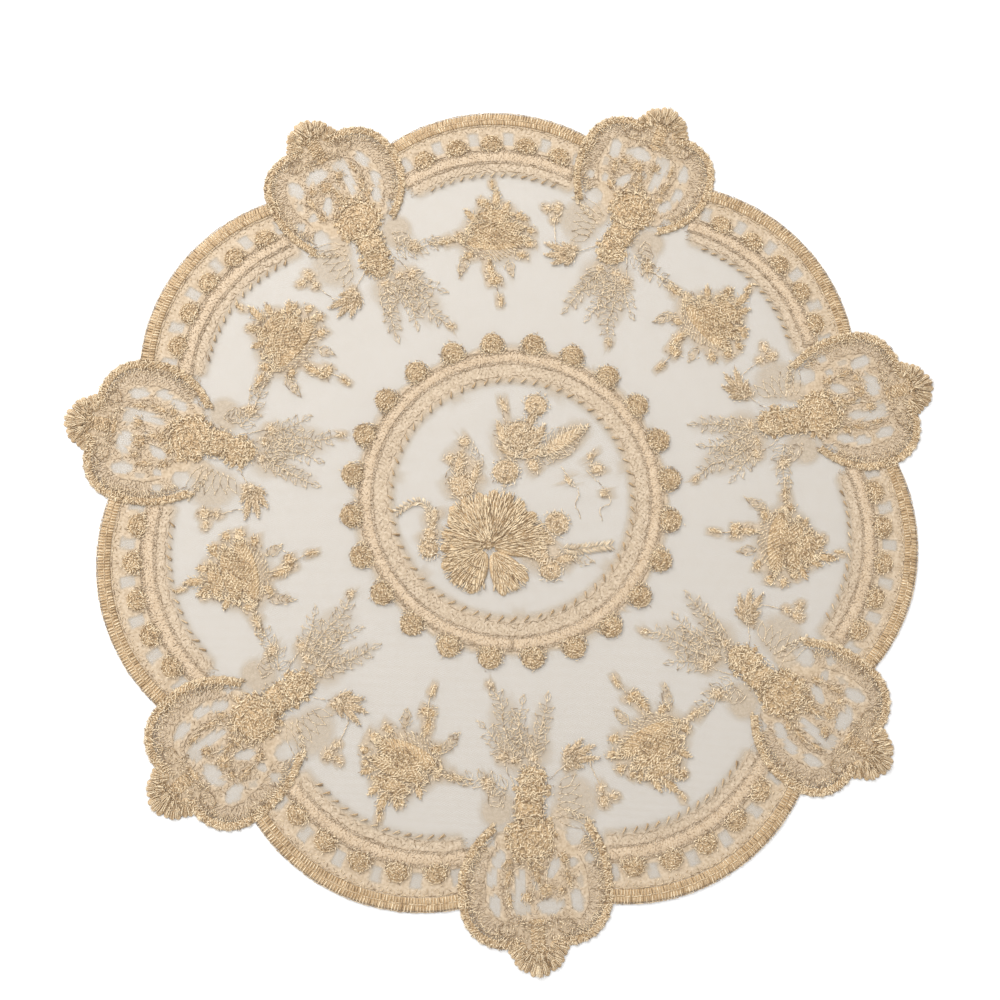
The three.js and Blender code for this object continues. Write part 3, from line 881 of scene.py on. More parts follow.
# A rosette that stands on a rail like a shell: arcs of short stitches about its foot, wider than high,
# with dark ones between, on a pad.
def shellRosette(x, y, radius, up, breadth=1.0):
    w = shellWork
    out, side = axesOf(up)
    foot = np.array([x, y]) - out * radius * w["foot"]
    broad = w["broad"] * breadth
    parts = [
        padOval((x, y), (radius * 0.95 - 1.0, radius * breadth - 1.2), up, high=0.86),
        grains(foot, (radius * 0.3, radius * breadth), 1.1, aim=up, z=0.8, dome=0.12),
        grains((x, y), (radius * 0.86, radius * breadth * 0.9), 0.3, aim=up, dome=0.3),
    ]
    top = radius * w["top"]
    for k, reach in enumerate(np.arange(w["first"], top, w["gap"])):
        half = w["halfAngle"] - w["narrowing"] * reach / top
        count = max(w["fewest"], round(w["perReach"] * reach))
        turns = np.radians(np.linspace(-half, half, count) + rng.uniform(-6, 6))
        local = reach * np.column_stack([np.cos(turns), broad * np.sin(turns)])
        at = foot + local[:, :1] * out + local[:, 1:] * side
        lean = turns + math.radians(w["leans"][k % 2]) + rng.normal(0, w["leanSpread"], count)
        way = np.cos(lean)[:, None] * out + np.sin(lean)[:, None] * side
        z = w["z"] + w["dome"] * math.sin(math.pi * (0.2 + 0.7 * reach / top))
        run = way * w["half"]
        parts.append(stitches(at - run, at + run, z=z, width=w["width"], tone=w["tones"][k % 2]))
        if k in w["darkArcs"]:
            dark = at[1:-1] + rng.uniform(-0.5, 0.9, (count - 2, 1)) * out
            run = way[1:-1] * w["darkHalf"]
            lift = z + w["darkRise"]
            parts.append(stitches(dark - run, dark + run, z=lift, width=w["darkWidth"], tone=0.0))
    return sewn(*parts)


def borderRosettes():
    w = rosetteWork
    turns = (np.arange(w["count"]) - (w["count"] - 1) / 2) * w["step"]
    places = zip(onScallop(w["at"], turns), turns)
    parts = [shellRosette(*at, w["radius"], 90 - turn, w["breadth"]) for at, turn in places]
    loose = bandGrains(scallopArc(68.4, 33), 0.9, 0.4, z=0.5, width=0.36, rise=0.05, tone=0.6)
    return sewn(*parts, loose)


railLook = dict(
    pad=dict(high=0.54, tone=0.46),
    felt=dict(length=1.2, width=0.38, rise=0.05, loose=0.2),
    outerFelt=dict(closeness=0.7, heading=80, spread=55, z=0.54, dome=0.04, tone=0.55),
    innerFelt=dict(closeness=0.5, heading=70, spread=60, z=0.46, dome=0.03, tone=0.6),
    row=dict(closeness=1.1, length=1.3, heading=62, spread=36, dome=0.1, width=0.44, rise=0.1, tone=0.55),
    outerLine=dict(pitch=1.3, z=0.62, width=0.32, tone=0.1, loose=0.18, uneven=0.2),
    middleLine=dict(pitch=1.4, z=0.56, width=0.3, tone=0.2, loose=0.26, uneven=0.2),
    fringe=dict(pitch=1.6, z=0.5, width=0.36, tone=0.5, loose=0.45),
)


# Two flat rails seen from the outside in: a thin dark line and a row of close grains, a felt-like flat
# band, a second row, and a lighter band that ends in ragged loops.
def railRows(arcAt, w):
    outer, inner = (w["outer"] + w["middle"]) / 2, (w["middle"] + w["inner"]) / 2
    wide, slim = (w["outer"] - w["middle"]) / 2, (w["middle"] - w["inner"]) / 2
    look = railLook
    return sewn(
        padLine(arcAt(outer), wide, **look["pad"]),
        bandGrains(arcAt(outer), wide - 0.2, **look["outerFelt"], **look["felt"]),
        bandGrains(arcAt(inner), slim + 0.2, **look["innerFelt"], **look["felt"]),
        bandGrains(arcAt(w["outer"] - 0.6), 0.8, z=0.6, **look["row"]),
        bandGrains(arcAt(w["middle"]), 0.7, z=0.56, **look["row"]),
        cord(arcAt(w["outer"] + 0.3), **look["outerLine"]),
        cord(arcAt(w["middle"] - 0.6), **look["middleLine"]),
        cord(arcAt(w["inner"] - 0.4), **look["fringe"]),
    )


def borderRails():
    w = railWork
    return railRows(lambda r: scallopArc(r, w["leftEnd"], w["rightEnd"], centre=railCentre), w)


def borderSeeds():
    w = seedWork
    turns = np.linspace(-w["span"] / 2, w["span"] / 2, w["count"])
    tone = w["tone"] - w["faded"] * np.abs(turns) / (w["span"] / 2)
    aims = w["aim"] - turns * w["turning"]
    return sewn(seeds(onScallop(w["at"], turns, railCentre), aims, w["length"], tone=tone))


# Lobes: horseshoe of rope and flat band, scrolls, finial, roses and sprays

ropeWays = dict(
    right=(
        (7.0, 165.6), (12.6, 165.8), (17.6, 164.5), (21.8, 161.9), (25.0, 157.6), (26.6, 152.4),
        (27.0, 146.0), (26.1, 139.6), (23.2, 133.6), (19.2, 128.6), (14.0, 124.2),
    ),
    left=(
        (-7.0, 165.6), (-12.6, 165.8), (-17.6, 164.5), (-21.9, 161.9), (-25.2, 157.6), (-26.8, 152.4),
        (-27.3, 146.0), (-26.8, 139.0), (-24.9, 132.4), (-20.8, 124.4),
    ),
)
bandWays = dict(
    right=(
        (13.4, 160.6), (18.2, 158.4), (21.0, 154.0), (21.8, 148.0), (21.4, 141.6), (19.2, 135.4),
        (13.0, 129.4),
    ),
    left=(
        (-14.6, 160.6), (-19.6, 158.2), (-22.0, 153.4), (-22.8, 147.6), (-22.4, 141.0), (-20.4, 134.6),
        (-17.4, 130.6),
    ),
)
innerWays = dict(
    right=(
        (12.6, 157.4), (17.0, 154.4), (18.4, 149.0), (18.6, 144.0), (17.4, 137.6), (14.4, 132.0),
    ),
    left=(
        (-16.4, 157.6), (-19.2, 153.2), (-19.8, 147.4), (-19.2, 141.6), (-16.8, 135.4),
    ),
)
grooveWays = dict(
    right=(
        (11.0, 163.4), (16.6, 162.3), (20.2, 159.9), (22.9, 156.4), (24.3, 151.6), (24.6, 146.0),
        (23.7, 140.4), (21.0, 135.0), (17.2, 130.4), (12.6, 126.2),
    ),
    left=(
        (-11.0, 163.4), (-16.6, 162.3), (-20.3, 159.9), (-23.1, 156.4), (-24.5, 151.6), (-24.9, 146.0),
        (-24.4, 139.6), (-22.6, 133.4), (-18.8, 126.4),
    ),
)


ropeWork = dict(
    bump=3.4, fan=(-58, 58, 7), inner=0.3, outer=2.15, padHalf=1.6, padHigh=0.75, inset=0.5,
    fans=dict(z=0.84, width=0.52, tone=0.6, loose=0.06),
    grains=dict(half=1.5, closeness=1.0, length=1.5, spread=34, z=0.88, dome=0.26, width=0.54, tone=0.66),
)


# One side's rope: small stitches every way on a round pad, and small fans of stitches that make its
# outer rim wavy.
def rope(way, out):
    w = ropeWork
    at, ahead = evenly(way, w["bump"])
    beside = leftOf(ahead) * out
    heading = np.arctan2(beside[:, 1], beside[:, 0])
    parts = []
    for turn in np.radians(np.linspace(*w["fan"])):
        ray = headings(heading + turn)
        parts.append(stitches(at + ray * w["inner"], at + ray * w["outer"], **w["fans"]))
    fine, along = evenly(way, 1.5)
    inside = fine - leftOf(along) * out * w["inset"]
    pad = padLine(way, w["padHalf"], high=w["padHigh"])
    return sewn(pad, bandGrains(inside, heading=74 * out, **w["grains"]), *parts)


lobeOpenings = (    # where bare net shows: x, y, half sizes, aim, strength
    (-15.4, 151.8, 2.9, 4.8, 10, 0.95), (-17.2, 144.6, 1.7, 2.8, 0, 0.7),
    (-4.8, 153.4, 4.8, 3.4, -6, 0.95), (5.2, 154.0, 4.2, 2.6, 10, 0.85),
    (6.0, 146.5, 2.5, 7.9, -14, 0.95), (14.8, 151.8, 2.5, 4.4, 10, 0.95),
    (15.6, 142.2, 2.4, 3.8, -10, 0.95), (12.8, 135.6, 2.6, 3.8, -20, 0.95),
    (-7.2, 139.8, 2.2, 4.6, -32, 0.95), (-14.8, 138.2, 2.0, 2.1, 0, 0.9),
    (-20.6, 137.0, 1.7, 2.2, 0, 0.8), (-15.6, 129.0, 3.2, 3.6, 0, 0.9), (15.6, 128.0, 2.3, 3.4, 0, 0.9),
    (-0.2, 145.2, 1.3, 2.4, 20, 0.8), (-9.6, 152.4, 1.6, 1.9, 0, 0.8),
)


frameSides = (("right", 1), ("left", -1))
outerBand = dict(shift=1.7, half=1.5, closeness=1.1, length=1.5, spread=34, z=0.66, dome=0.14, width=0.5,
                 tone=0.54)
innerBand = dict(shift=-1.1, half=1.6, closeness=0.9, length=1.4, spread=30, z=0.54, dome=0.08, width=0.44,
                 rise=0.08, tone=0.7)
feltWork = dict(
    centre=(-1.0, 146.0), halves=(17.5, 14.5),
    grains=dict(closeness=0.95, width=0.4, rise=0.08, tone=0.52, z=0.5, dome=0.0, length=1.3, spread=60),
    # the groove's dark cord is painted shade of the groove beside the rope
    groove=dict(z=0.7, width=0.36, tone=0.25, loose=0.24, uneven=0.2),
    innerLine=dict(z=0.62, width=0.34, tone=0.3, loose=0.28, uneven=0.2),
    thin=((6.4, 157.0), (10.4, 154.2), (12.2, 149.6), (11.8, 145.0)),
)


# One side's band beside the rope: coarse grains on its outer half, flat ones on its inner half.
def bandHalf(side, out, shift, **look):
    way, ahead = evenly(bandWays[side], 1.5)
    rows = bandGrains(way + leftOf(ahead) * out * shift, heading=82 * out, **look)
    return outsideOvals(rows, lobeOpenings)


def lobeBands():
    parts = []
    for side, out in frameSides:
        parts += [rope(ropeWays[side], out), bandHalf(side, out, **outerBand)]
    return sewn(*parts)


# The ground of the lobe and its felt-like bands, with none in the openings.
def lobeFelt():
    w = feltWork
    parts = [outsideOvals(grains(w["centre"], w["halves"], **w["grains"]), lobeOpenings)]
    for side, out in frameSides:
        parts += [
            bandHalf(side, out, **innerBand),
            # painted shade: a dark cord along the groove
            cord(grooveWays[side], 1.3, **w["groove"]),
            cord(innerWays[side], 1.3, **w["innerLine"]),
        ]
    return sewn(*parts, cord(w["thin"], 1.2, z=0.6, width=0.32, tone=0.12, loose=0.2))


scrollWork = dict(
    x=10.7, y=160.4, halves=(3.4, 2.5),
    knob=dict(tiers=2, rounding=0.3, loose=0.05, frayed=0.012, pitch=0.44, width=0.42),
)


# A dark line of thread on top of other work.
def darkLine(way, z, width=0.36, **look):
    return cord(way, 1.2, z=z, width=width, tone=0.0, **look)


# The upper end of the horseshoe: a curl, brow, cheek and two knobs on each side, a ladder between them
# and a fan on top.
def lobeScrolls():
    w = scrollWork
    knob = w["knob"]
    parts = []
    for out in (1, -1):
        centre = np.array([w["x"] * out, w["y"]])
        turns = np.radians(90 + out * np.linspace(-200, 60, 14))
        outline = centre + headings(turns) * w["halves"]
        brow = ((4.0 * out, 163.6), (8.4 * out, 164.2), (13.4 * out, 163.4), (16.2 * out, 161.0))
        cheek = ((4.2 * out, 161.4), (5.0 * out, 158.6), (7.4 * out, 156.8))
        halves = (w["halves"][0] + 0.3, w["halves"][1])
        parts += [
            grains(centre, halves, 1.1, z=0.64, dome=0.1, width=0.42, tone=0.5),
            cord(outline, 1.1, z=1.16, width=0.46, tone=0.0, loose=0.08),
            bandGrains(brow, 1.3, 1.1, 1.4, heading=70, z=0.76, tone=0.55),
            bandGrains(cheek, 1.6, 1.0, 1.4, heading=75, z=0.7, tone=0.52),
            petalFan((4.4 * out, 165.6), 90 - 50 * out, 7.7, 56, z=0.9, dome=0.3, tone=0.54, **knob),
            petalFan((2.6 * out, 168.8), 90 - 40 * out, 7.8, 62, z=0.95, dome=0.4, tone=0.58, **knob),
            darkLine(((8.4 * out, 171.0), (6.2 * out, 169.4), (4.4 * out, 167.6)), 1.36, 0.4),
        ]
    ladder = ((0, 159.8), (0, 164), (0, 168.6))
    parts += [
        padLine(ladder, 2.9, high=0.6),
        bandGrains(ladder, 3.2, 1.1, 1.4, heading=84, spread=26, z=0.74, dome=0.15, tone=0.55),
        across(ladder, -2.4, 2.4, 2.2, z=0.84, width=0.32, tone=0.08),
        grains((0, 171.4), (6.6, 3.4), 1.1, z=0.9, dome=0.3, tone=0.5),
        petalFan((0, 168.4), 90, 9.7, 58, z=1.1, dome=0.5, tone=0.62, **knob),
        darkLine(((-1.4, 170.0), (-2.8, 172.6), (-4.0, 174.8)), 1.62, 0.42),
        darkLine(((1.4, 170.0), (2.8, 172.6), (4.0, 174.8)), 1.62, 0.42),
        cluster(0, 168.6, 6.2, 2.2, z=0.85, tone=0.45),
        cluster(0, 158.4, 3.6, 1.9, z=0.78, tone=0.5),
    ]
    return sewn(*parts)


# The lobe's big rose, the lower one, and the knot of grains between them, with dark lines in its folds as
# painted shade.
def lobeRoses():
    return sewn(
        rose((0.8, 128.7), 9.9, dome=0.36, curls=3, swirls=((0.78, 2.7, 66), (0.46, 2.3, 58))),
        padOval((0.6, 118.0), (7.4, 5.4), 95, high=0.95),
        grains((0.6, 118.0), (6.7, 6.6), dome=0.35),
        # painted shade: dark lines in the knot's folds
        darkLine(((-6.4, 122.8), (-2.6, 121.2), (2.4, 120.8), (7.2, 122.6)), 1.35),
        darkLine(((-4.4, 116.0), (-1.0, 115.2), (2.4, 115.8)), 1.2, 0.4),
        padOval((-1.0, 109.2), (6.4, 5.0), 90, high=0.86),
        rose((-1.0, 110.4), 6.4, curls=1, swirls=((0.66, 2.3, 62),)),
        grains((-1.0, 106.4), (5.6, 4.8), dome=0.26),
    )


lobeFlowers = (    # in the openings of the frame: x, y, half sizes, aim
    (-4.0, 147.4, 3.0, 3.1, 0), (3.0, 149.6, 2.2, 2.3, 0), (-9.8, 148.0, 2.0, 1.8, 0),
    (-1.0, 142.0, 2.0, 3.6, 10), (9.8, 142.6, 1.9, 3.6, -16), (-12.6, 144.0, 2.0, 3.4, 12),
    (-11.4, 136.4, 1.9, 2.6, 20), (9.8, 150.4, 1.6, 2.8, 0), (-1.0, 139.4, 3.4, 1.8, 0),
    (9.6, 137.2, 2.4, 1.8, 40),
)
lobeClusters = (    # sprigs and dense leaves
    (-27.6, 117.0, 2.2, 2.8, 10), (-31.4, 115.6, 2.4, 1.6, 0), (-27.0, 112.4, 1.5, 2.0, -30),
    (-15.2, 103.4, 1.9, 2.2, 0), (15.6, 108.2, 2.0, 3.0, 10), (9.2, 98.6, 2.6, 1.9, 20),
    (4.6, 100.4, 2.4, 1.6, 0), (-2.4, 100.0, 2.2, 1.6, 0), (12.4, 71.8, 1.8, 1.3, 320),
)
lobeLaurels = (
    ((-2.0, 98.6), (-4.2, 93.0), (-6.8, 86.0), (-8.6, 79.0)),
    ((0.4, 99.0), (2.2, 92.0), (2.6, 86.0), (1.0, 79.6)),
    ((4.6, 100.0), (7.0, 93.0), (8.6, 86.0), (8.6, 80.0), (11.6, 73.6)),
    ((8.6, 97.6), (12.0, 92.0), (15.6, 87.4)),
    ((9.0, 110.4), (14.6, 107.4), (20.0, 106.6), (26.0, 105.2)),
)
lobeLeaf = (
    (-13.6, 101.6),
    ((182, 13.4, 5.2), (204, 13.0, 5.4), (226, 10.8, 5.0), (250, 6.6, 4.0), (158, 7.4, 4.4)),
)
lobeLoops = (    # leaves drawn in thread: centre, aim, length, width
    (-4.6, 92.6, 246, 11, 6.2), (3.8, 88.8, 266, 11, 5.8), (13.0, 113.0, 300, 10, 5.6),
)
lobeStems = (
    ((5.0, 111.0), (8.0, 104.0), (9.4, 98.0)),
    ((5.4, 138.4), (8.4, 141.0), (10.6, 145.6), (10.2, 152.0)),
    ((0.0, 138.0), (-0.6, 143.0), (1.6, 150.0)), ((-5.6, 137.0), (-4.4, 142.0), (-4.2, 147.4)),
    ((-8.6, 134.0), (-11.8, 138.0), (-13.0, 146.0)), ((-8.0, 107.6), (-12.6, 104.0), (-18.0, 100.4)),
    ((-23.0, 103.0), (-26.0, 109.6), (-28.8, 117.0)),
)
lobeSprigs = (
    (((26.0, 105.4), (31.0, 103.8), (36.0, 102.4)), dict(gap=2.2, width=0.44)),
    (((-10.4, 118.0), (-16.0, 120.6), (-22.0, 124.0)), dict(gap=2.6, z=0.55, width=0.4, tone=0.75)),
)
lobeFern = dict(  # the first foot and tip with the step to the next, and a petal's breadth, height and tone
    count=6, feet=((-9.6, 122.0), (-0.4, -2.2)), tips=((-21.4, 126.4), (0.8, -3.9)), petal=(3.0, 0.54, 0.68),
)


# A dense leaf of several pointed lobes that spread from its foot, each with a dark vein: aim, length and
# breadth of each.
def fanned(foot, leaflets, z):
    parts = []
    for aim, length, breadth in leaflets:
        way = axesOf(aim)[0]
        middle = np.asarray(foot, float) + way * length * 0.52
        vein = (middle - way * length * 0.3, middle + way * length * 0.36)
        parts += [leafGrains(*middle, aim, length, breadth, z=z, tone=0.62), darkLine(vein, z + 0.45, 0.3)]
    return sewn(*parts)


def lobeOpenFlowers():
    return sewn(*[cluster(*row, z=0.74, tone=0.5) for row in lobeFlowers])


def stems(ways):
    return [cord(way, 1.3, z=0.72, width=0.5, loose=0.2) for way in ways]


def lobeSprays():
    parts = [cluster(*row) for row in lobeClusters]
    parts += [fanned(*lobeLeaf, 0.8)]
    parts += [laurel(way) for way in lobeLaurels]
    parts += [loopLeaf(*row) for row in lobeLoops]
    parts += stems(lobeStems)
    parts += [sprig(way, leaflet=2.0, **look) for way, look in lobeSprigs]
    for k in range(lobeFern["count"]):
        foot, tip = (np.array(at) + k * np.array(step) for at, step in (lobeFern["feet"], lobeFern["tips"]))
        parts += loop(foot, aimOf(tip - foot), math.dist(foot, tip), *lobeFern["petal"])
    return sewn(*parts)


# Field bouquets, in the scallops' frames

fieldClusters = (    # x, y, half sizes, aim
    (-0.4, 106.0, 14.4, 8.0, 0), (-0.4, 112.0, 12.4, 6.6, 0), (0.0, 118.2, 8.0, 5.2, 0),
    (-0.6, 131.0, 1.2, 2.4, 0), (-4.2, 93.6, 2.2, 4.2, 8), (-2.0, 88.8, 3.4, 2.5, 0),
    (-0.4, 80.6, 1.4, 2.6, -6), (-20.2, 106.8, 3.4, 1.7, 8), (-10.4, 99.6, 2.6, 2.0, 20),
    (9.8, 99.6, 2.6, 2.0, -20), (14.0, 104.6, 2.4, 2.0, 0), (-14.6, 108.4, 2.2, 2.6, 0),
    (14.2, 110.0, 2.2, 2.0, 0), (-5.2, 123.0, 1.9, 2.2, 20), (11.4, 114.8, 2.0, 1.8, 0),
)
fieldTips = (    # pointed leaves on top of the bouquet: centre, aim, length, breadth
    (0.6, 125.0, 88, 9, 6.0), (-3.4, 121.6, 112, 7, 5.0), (5.2, 121.6, 66, 7, 5.0),
    (-9.4, 116.4, 142, 6, 5.0), (9.6, 116.6, 38, 6, 5.0),
)
fieldLoops = (
    (-14.4, 95.6, 250, 10, 3.8), (4.6, 93.8, 285, 7, 3.6), (-24.6, 106.8, 185, 6, 3.0),
)


fieldWork = dict(
    stray=0.5, tipStray=(0.5, 0.5, 10, 0.8),    # of a cluster's place; of a leaf's place, aim and length
    broadFrom=4.5, domes=(0.24, 0.45),          # clusters this high stand higher
    stem=((-3.0, 98.0), (-3.0, 92.0), (-1.0, 85.0), (-0.4, 78.6)),
    eyes=((1.0, 1.3, 90, 1.72, 0.0), (3.4, 1.5, 80, 1.66, 0.1)),    # radius, length, slant, height, tone
    eyeAt=(0.8, 107.4),
)


# No two of the bouquets are alike: each part strays a little from its place.
def fieldBouquet():
    w = fieldWork
    parts = []
    for x, y, a, b, aim in fieldClusters:
        x, y = x + rng.normal(0, w["stray"]), y + rng.normal(0, w["stray"])
        parts.append(cluster(x, y, a, b, aim, dome=w["domes"][b > w["broadFrom"]]))
    for x, y, aim, length, breadth in fieldTips:
        stray = rng.normal(0, w["tipStray"])
        parts.append(leafGrains(x + stray[0], y + stray[1], aim + stray[2], length + stray[3], breadth))
    parts += [ringOf(w["eyeAt"], *ring, z=z, tone=tone) for *ring, z, tone in w["eyes"]]
    parts += [loopLeaf(*row) for row in fieldLoops]
    parts.append(cord(w["stem"], 1.3, width=0.6))
    return sewn(*parts)


# Medallion

ringWork = dict(outer=59.4, middle=54.6, inner=49.4)
ringRosettes = dict(count=24, at=62.7, radius=5.7, first=6.7)   # degrees to the first one
ringSeeds = dict(count=60, at=47.4, length=3.4, lean=38)


def wholeRing(radius):
    return arc((0, 0), radius, 270, -90, 3.0)


def medallionRosettes():
    w = ringRosettes
    parts = []
    for k in range(w["count"]):
        turn = w["first"] + k * 360 / w["count"]
        x, y = w["at"] * axesOf(turn)[0]
        parts.append(shellRosette(x, y, w["radius"], turn))
    return sewn(*parts)


def medallionSeeds():
    w = ringSeeds
    turns = np.arange(w["count"]) * 360 / w["count"]
    return sewn(seeds(w["at"] * headings(np.radians(turns)), turns - w["lean"], w["length"]))


middlePetals = (    # foot, aim, length, spread, tiers
    (-9.6, -19.0, 165, 19.0, 60, 10), (-9.6, -18.8, 117, 21.5, 58, 11), (-9.0, -18.8, 68, 22.5, 54, 11),
    (-8.6, -19.0, 16, 22.5, 64, 11), (-10.6, -20.2, 227, 19.0, 78, 10),
    (-8.0, -21.0, 302, 18.6, 58, 10),
)
middleKnots = (
    (17.3, -10.2, 5.8), (14.6, -28.6, 5.2), (-32.4, -20.2, 4.8), (-2.4, 10.2, 6.2), (3.4, 24.6, 7.4),
    (9.8, 37.2, 5.6),
)
middleClusters = (
    (-18.6, 22.0, 2.6, 2.4, 0), (-24.4, 15.6, 2.2, 1.8, 0), (-20.4, 13.6, 3.2, 5.4, -10),
    (-19.6, 4.6, 5.2, 5.6, 15), (-14.6, 8.8, 2.4, 5.4, -20), (-3.0, 37.0, 1.6, 3.6, 25),
    (8.6, 12.8, 2.4, 3.4, 30), (-30.6, -8.6, 2.2, 4.6, -10), (-32.0, -14.8, 2.6, 3.6, 8),
    (33.6, 11.4, 3.0, 2.2, 20), (36.0, 1.6, 2.0, 1.8, 20), (10.4, -22.6, 4.8, 3.6, 320),
    (12.4, -16.2, 4.2, 3.2, 330), (31.0, 16.6, 2.0, 1.4, 60), (22.0, 6.8, 2.4, 1.4, 120),
    (20.4, -24.2, 4.4, 2.8, 10),
)
middleFill = (    # leaves of slanting stitches that lie over one another: centre, aim, length, breadth
    (-3.6, 25.0, 110, 12, 7.0), (3.4, 22.6, 75, 14, 8.0), (10.0, 24.0, 60, 13, 7.6),
    (-1.6, 18.4, 150, 10, 5.6), (7.6, 31.0, 70, 9, 6.0), (8.4, 17.6, 20, 11, 5.6),
)
middleLoops = (
    (-22.0, 10.6, 80, 15, 6.0), (-14.0, 15.6, 100, 10, 4.6), (14.6, 15.6, 20, 9, 4.4),
    (27.0, -24.6, 350, 9, 4.4),
)
middleStems = (
    ((-12.0, -2.0), (-16.0, 6.0), (-19.0, 14.0), (-18.4, 22.0)),
    ((-4.0, -2.0), (-2.6, 8.0), (2.6, 22.0), (9.0, 36.0)), ((-1.0, 28.0), (-3.4, 33.0), (-3.0, 38.6)),
    ((19.6, 12.0), (23.0, 7.0), (26.2, 1.6), (24.8, -3.0), (26.6, -7.6)),
    ((30.0, 10.0), (36.4, 3.0), (38.4, -2.0), (34.6, -4.4), (35.0, -8.6)), ((31.0, 12.6), (33.0, 17.4)),
)


flowerWork = dict(
    petal=dict(pitch=0.62, dome=0.3, start=0.06, width=0.5, loose=0.24, tone=0.6, uneven=0.13, shaded=0.07),
    dark=dict(z=1.74, tone=0.0, uneven=0.03),
    shellAt=(-12.4, -22.4), shells=(5.6, 9.0, 12.2, 15.0),      # radii
    holesAt=(-8.0, -18.6), holes=((8.0, 20, 165), (11.4, 50, 150)),    # radius, from and to
)


# The big flower: six petals, dark shell lines on the lowest, two arcs of dark holes and a low heart.
def middleFlower():
    w = flowerWork
    parts = []
    for x, y, aim, length, spread, tiers in middlePetals:
        parts.append(petalFan((x, y), aim, length, spread, tiers=tiers, **w["petal"]))
    for reach in w["shells"]:
        shell = arc(w["shellAt"], reach, 200 + reach, 268 - reach, 12)
        parts.append(cord(shell, 1.2, width=0.36, loose=0.24, **w["dark"]))
    for reach, start, end in w["holes"]:
        holes = arc(w["holesAt"], reach, start, end, 14)
        parts.append(across(holes, -0.6, 0.6, 1.9, width=0.6, loose=0.35, **w["dark"]))
    parts.append(cluster(-9.4, -18.2, 3.0, 2.8, z=1.2, tone=0.45))
    return sewn(*parts)


# A knot: a small rose with an uneven rim and a dark eye.
def knot(x, y, radius):
    curl = arc((x, y), radius * 0.5, 360 * rng.random(), 360 * rng.random() + 200, 24)
    return sewn(
        padOval((x, y), (radius - 1.2, radius - 1.2), high=0.86),
        grains((x, y), (radius * 0.98, radius * 0.94), 1.1, aim=40, z=0.88, dome=0.34, wobble=0.07),
        cord(curl, 1.1, z=1.4, width=0.34, tone=0.0, loose=0.16),
        ringOf((x, y), 0.5, 1.0, 90, z=1.5, tone=0.0, width=0.42, uneven=0.03),
    )


middleFern = (20.6, 22.8, 32, 23)    # a large open leaf: centre, aim, length
middleSprigs = (
    (((18.0, -20.6), (24.0, -20.6), (30.0, -20.0), (37.0, -19.2)), dict(leaflet=3.4, gap=1.5)),
    (((-31.0, -12.0), (-33.0, -4.0), (-38.0, -2.0), (-44.0, -5.4)), dict(leaflet=2.8, gap=1.6)),
)


def middleSprays():
    parts = [knot(*row) for row in middleKnots]
    parts += [cluster(*row) for row in middleClusters]
    parts += [leafGrains(*row, grain=1.9, slant=26, width=0.44) for row in middleFill]
    parts += [loopLeaf(*row) for row in middleLoops]
    parts += stems(middleStems)
    parts += [
        leafGrains(*middleFern, 10.5, closeness=0.8, z=0.7, grain=2.4, slant=50, tone=0.75, width=0.42),
        loopLeaf(*middleFern, 11.0, z=0.85),
    ]
    parts += [sprig(way, z=0.7, width=0.46, **look) for way, look in middleSprigs]
    return sewn(*parts)


embroidery("edge_band", perScallop(scallopEdge), raisedYarn)
embroidery("border_rosettes", perScallop(borderRosettes), raisedYarn)
embroidery("border_rails", perScallop(borderRails), flatYarn)
embroidery("border_seeds", perScallop(borderSeeds), raisedYarn)
embroidery("lobe_bands", perLobe(lobeBands), raisedYarn)
embroidery("lobe_felt", perLobe(lobeFelt), flatYarn)
embroidery("lobe_scrolls", perLobe(lobeScrolls), raisedYarn)
embroidery("lobe_roses", perLobe(lobeRoses), raisedYarn)
embroidery("lobe_flowers", perLobe(lobeOpenFlowers), raisedYarn)
embroidery("lobe_sprays", perLobe(lobeSprays), softYarn)
embroidery("field_bouquets", perScallop(fieldBouquet, crown=False), raisedYarn)
embroidery("medallion_ring", railRows(wholeRing, ringWork), flatYarn)
embroidery("medallion_rosettes", medallionRosettes(), raisedYarn)
embroidery("medallion_seeds", medallionSeeds(), raisedYarn)
embroidery("middle_flower", middleFlower(), raisedYarn)
embroidery("middle_sprays", middleSprays(), softYarn)


# Net: one sheet of fine mesh, darned closer round the motifs

netSheet = dict(turns=600, inset=2.2, z=0.4, ripple=0.06, flat=(0.345, 0.345), area=0.0877)
lobeDarning = (    # x, y, half sizes, aim, strength: from a half on it is sewn over
    (9.6, 148.2, 14.6, 15.2, 0, 0.86), (-9.8, 148.0, 15.2, 15.2, 0, 0.86),
    (0.0, 135.0, 21.0, 10.0, 0, 0.86), (0.0, 163.0, 13.0, 6.0, 0, 0.9),
    (-17.0, 116.0, 8.0, 9.0, 20, 0.24), (-11.0, 122.0, 4.0, 5.0, 0, 0.4),
    (12.0, 117.6, 7.0, 6.0, 30, 0.3), (2.0, 97.0, 11.0, 8.0, 0, 0.24), (8.0, 85.0, 6.0, 9.0, 0, 0.16),
    (-5.8, 87.4, 9.6, 3.8, 252, 0.16),
)
middleDarning = (
    (21.0, 22.0, 12.0, 5.6, 40, 0.3), (0.0, 22.0, 8.0, 9.0, 0, 0.3), (9.0, -20.0, 7.0, 8.0, 0, 0.36),
)


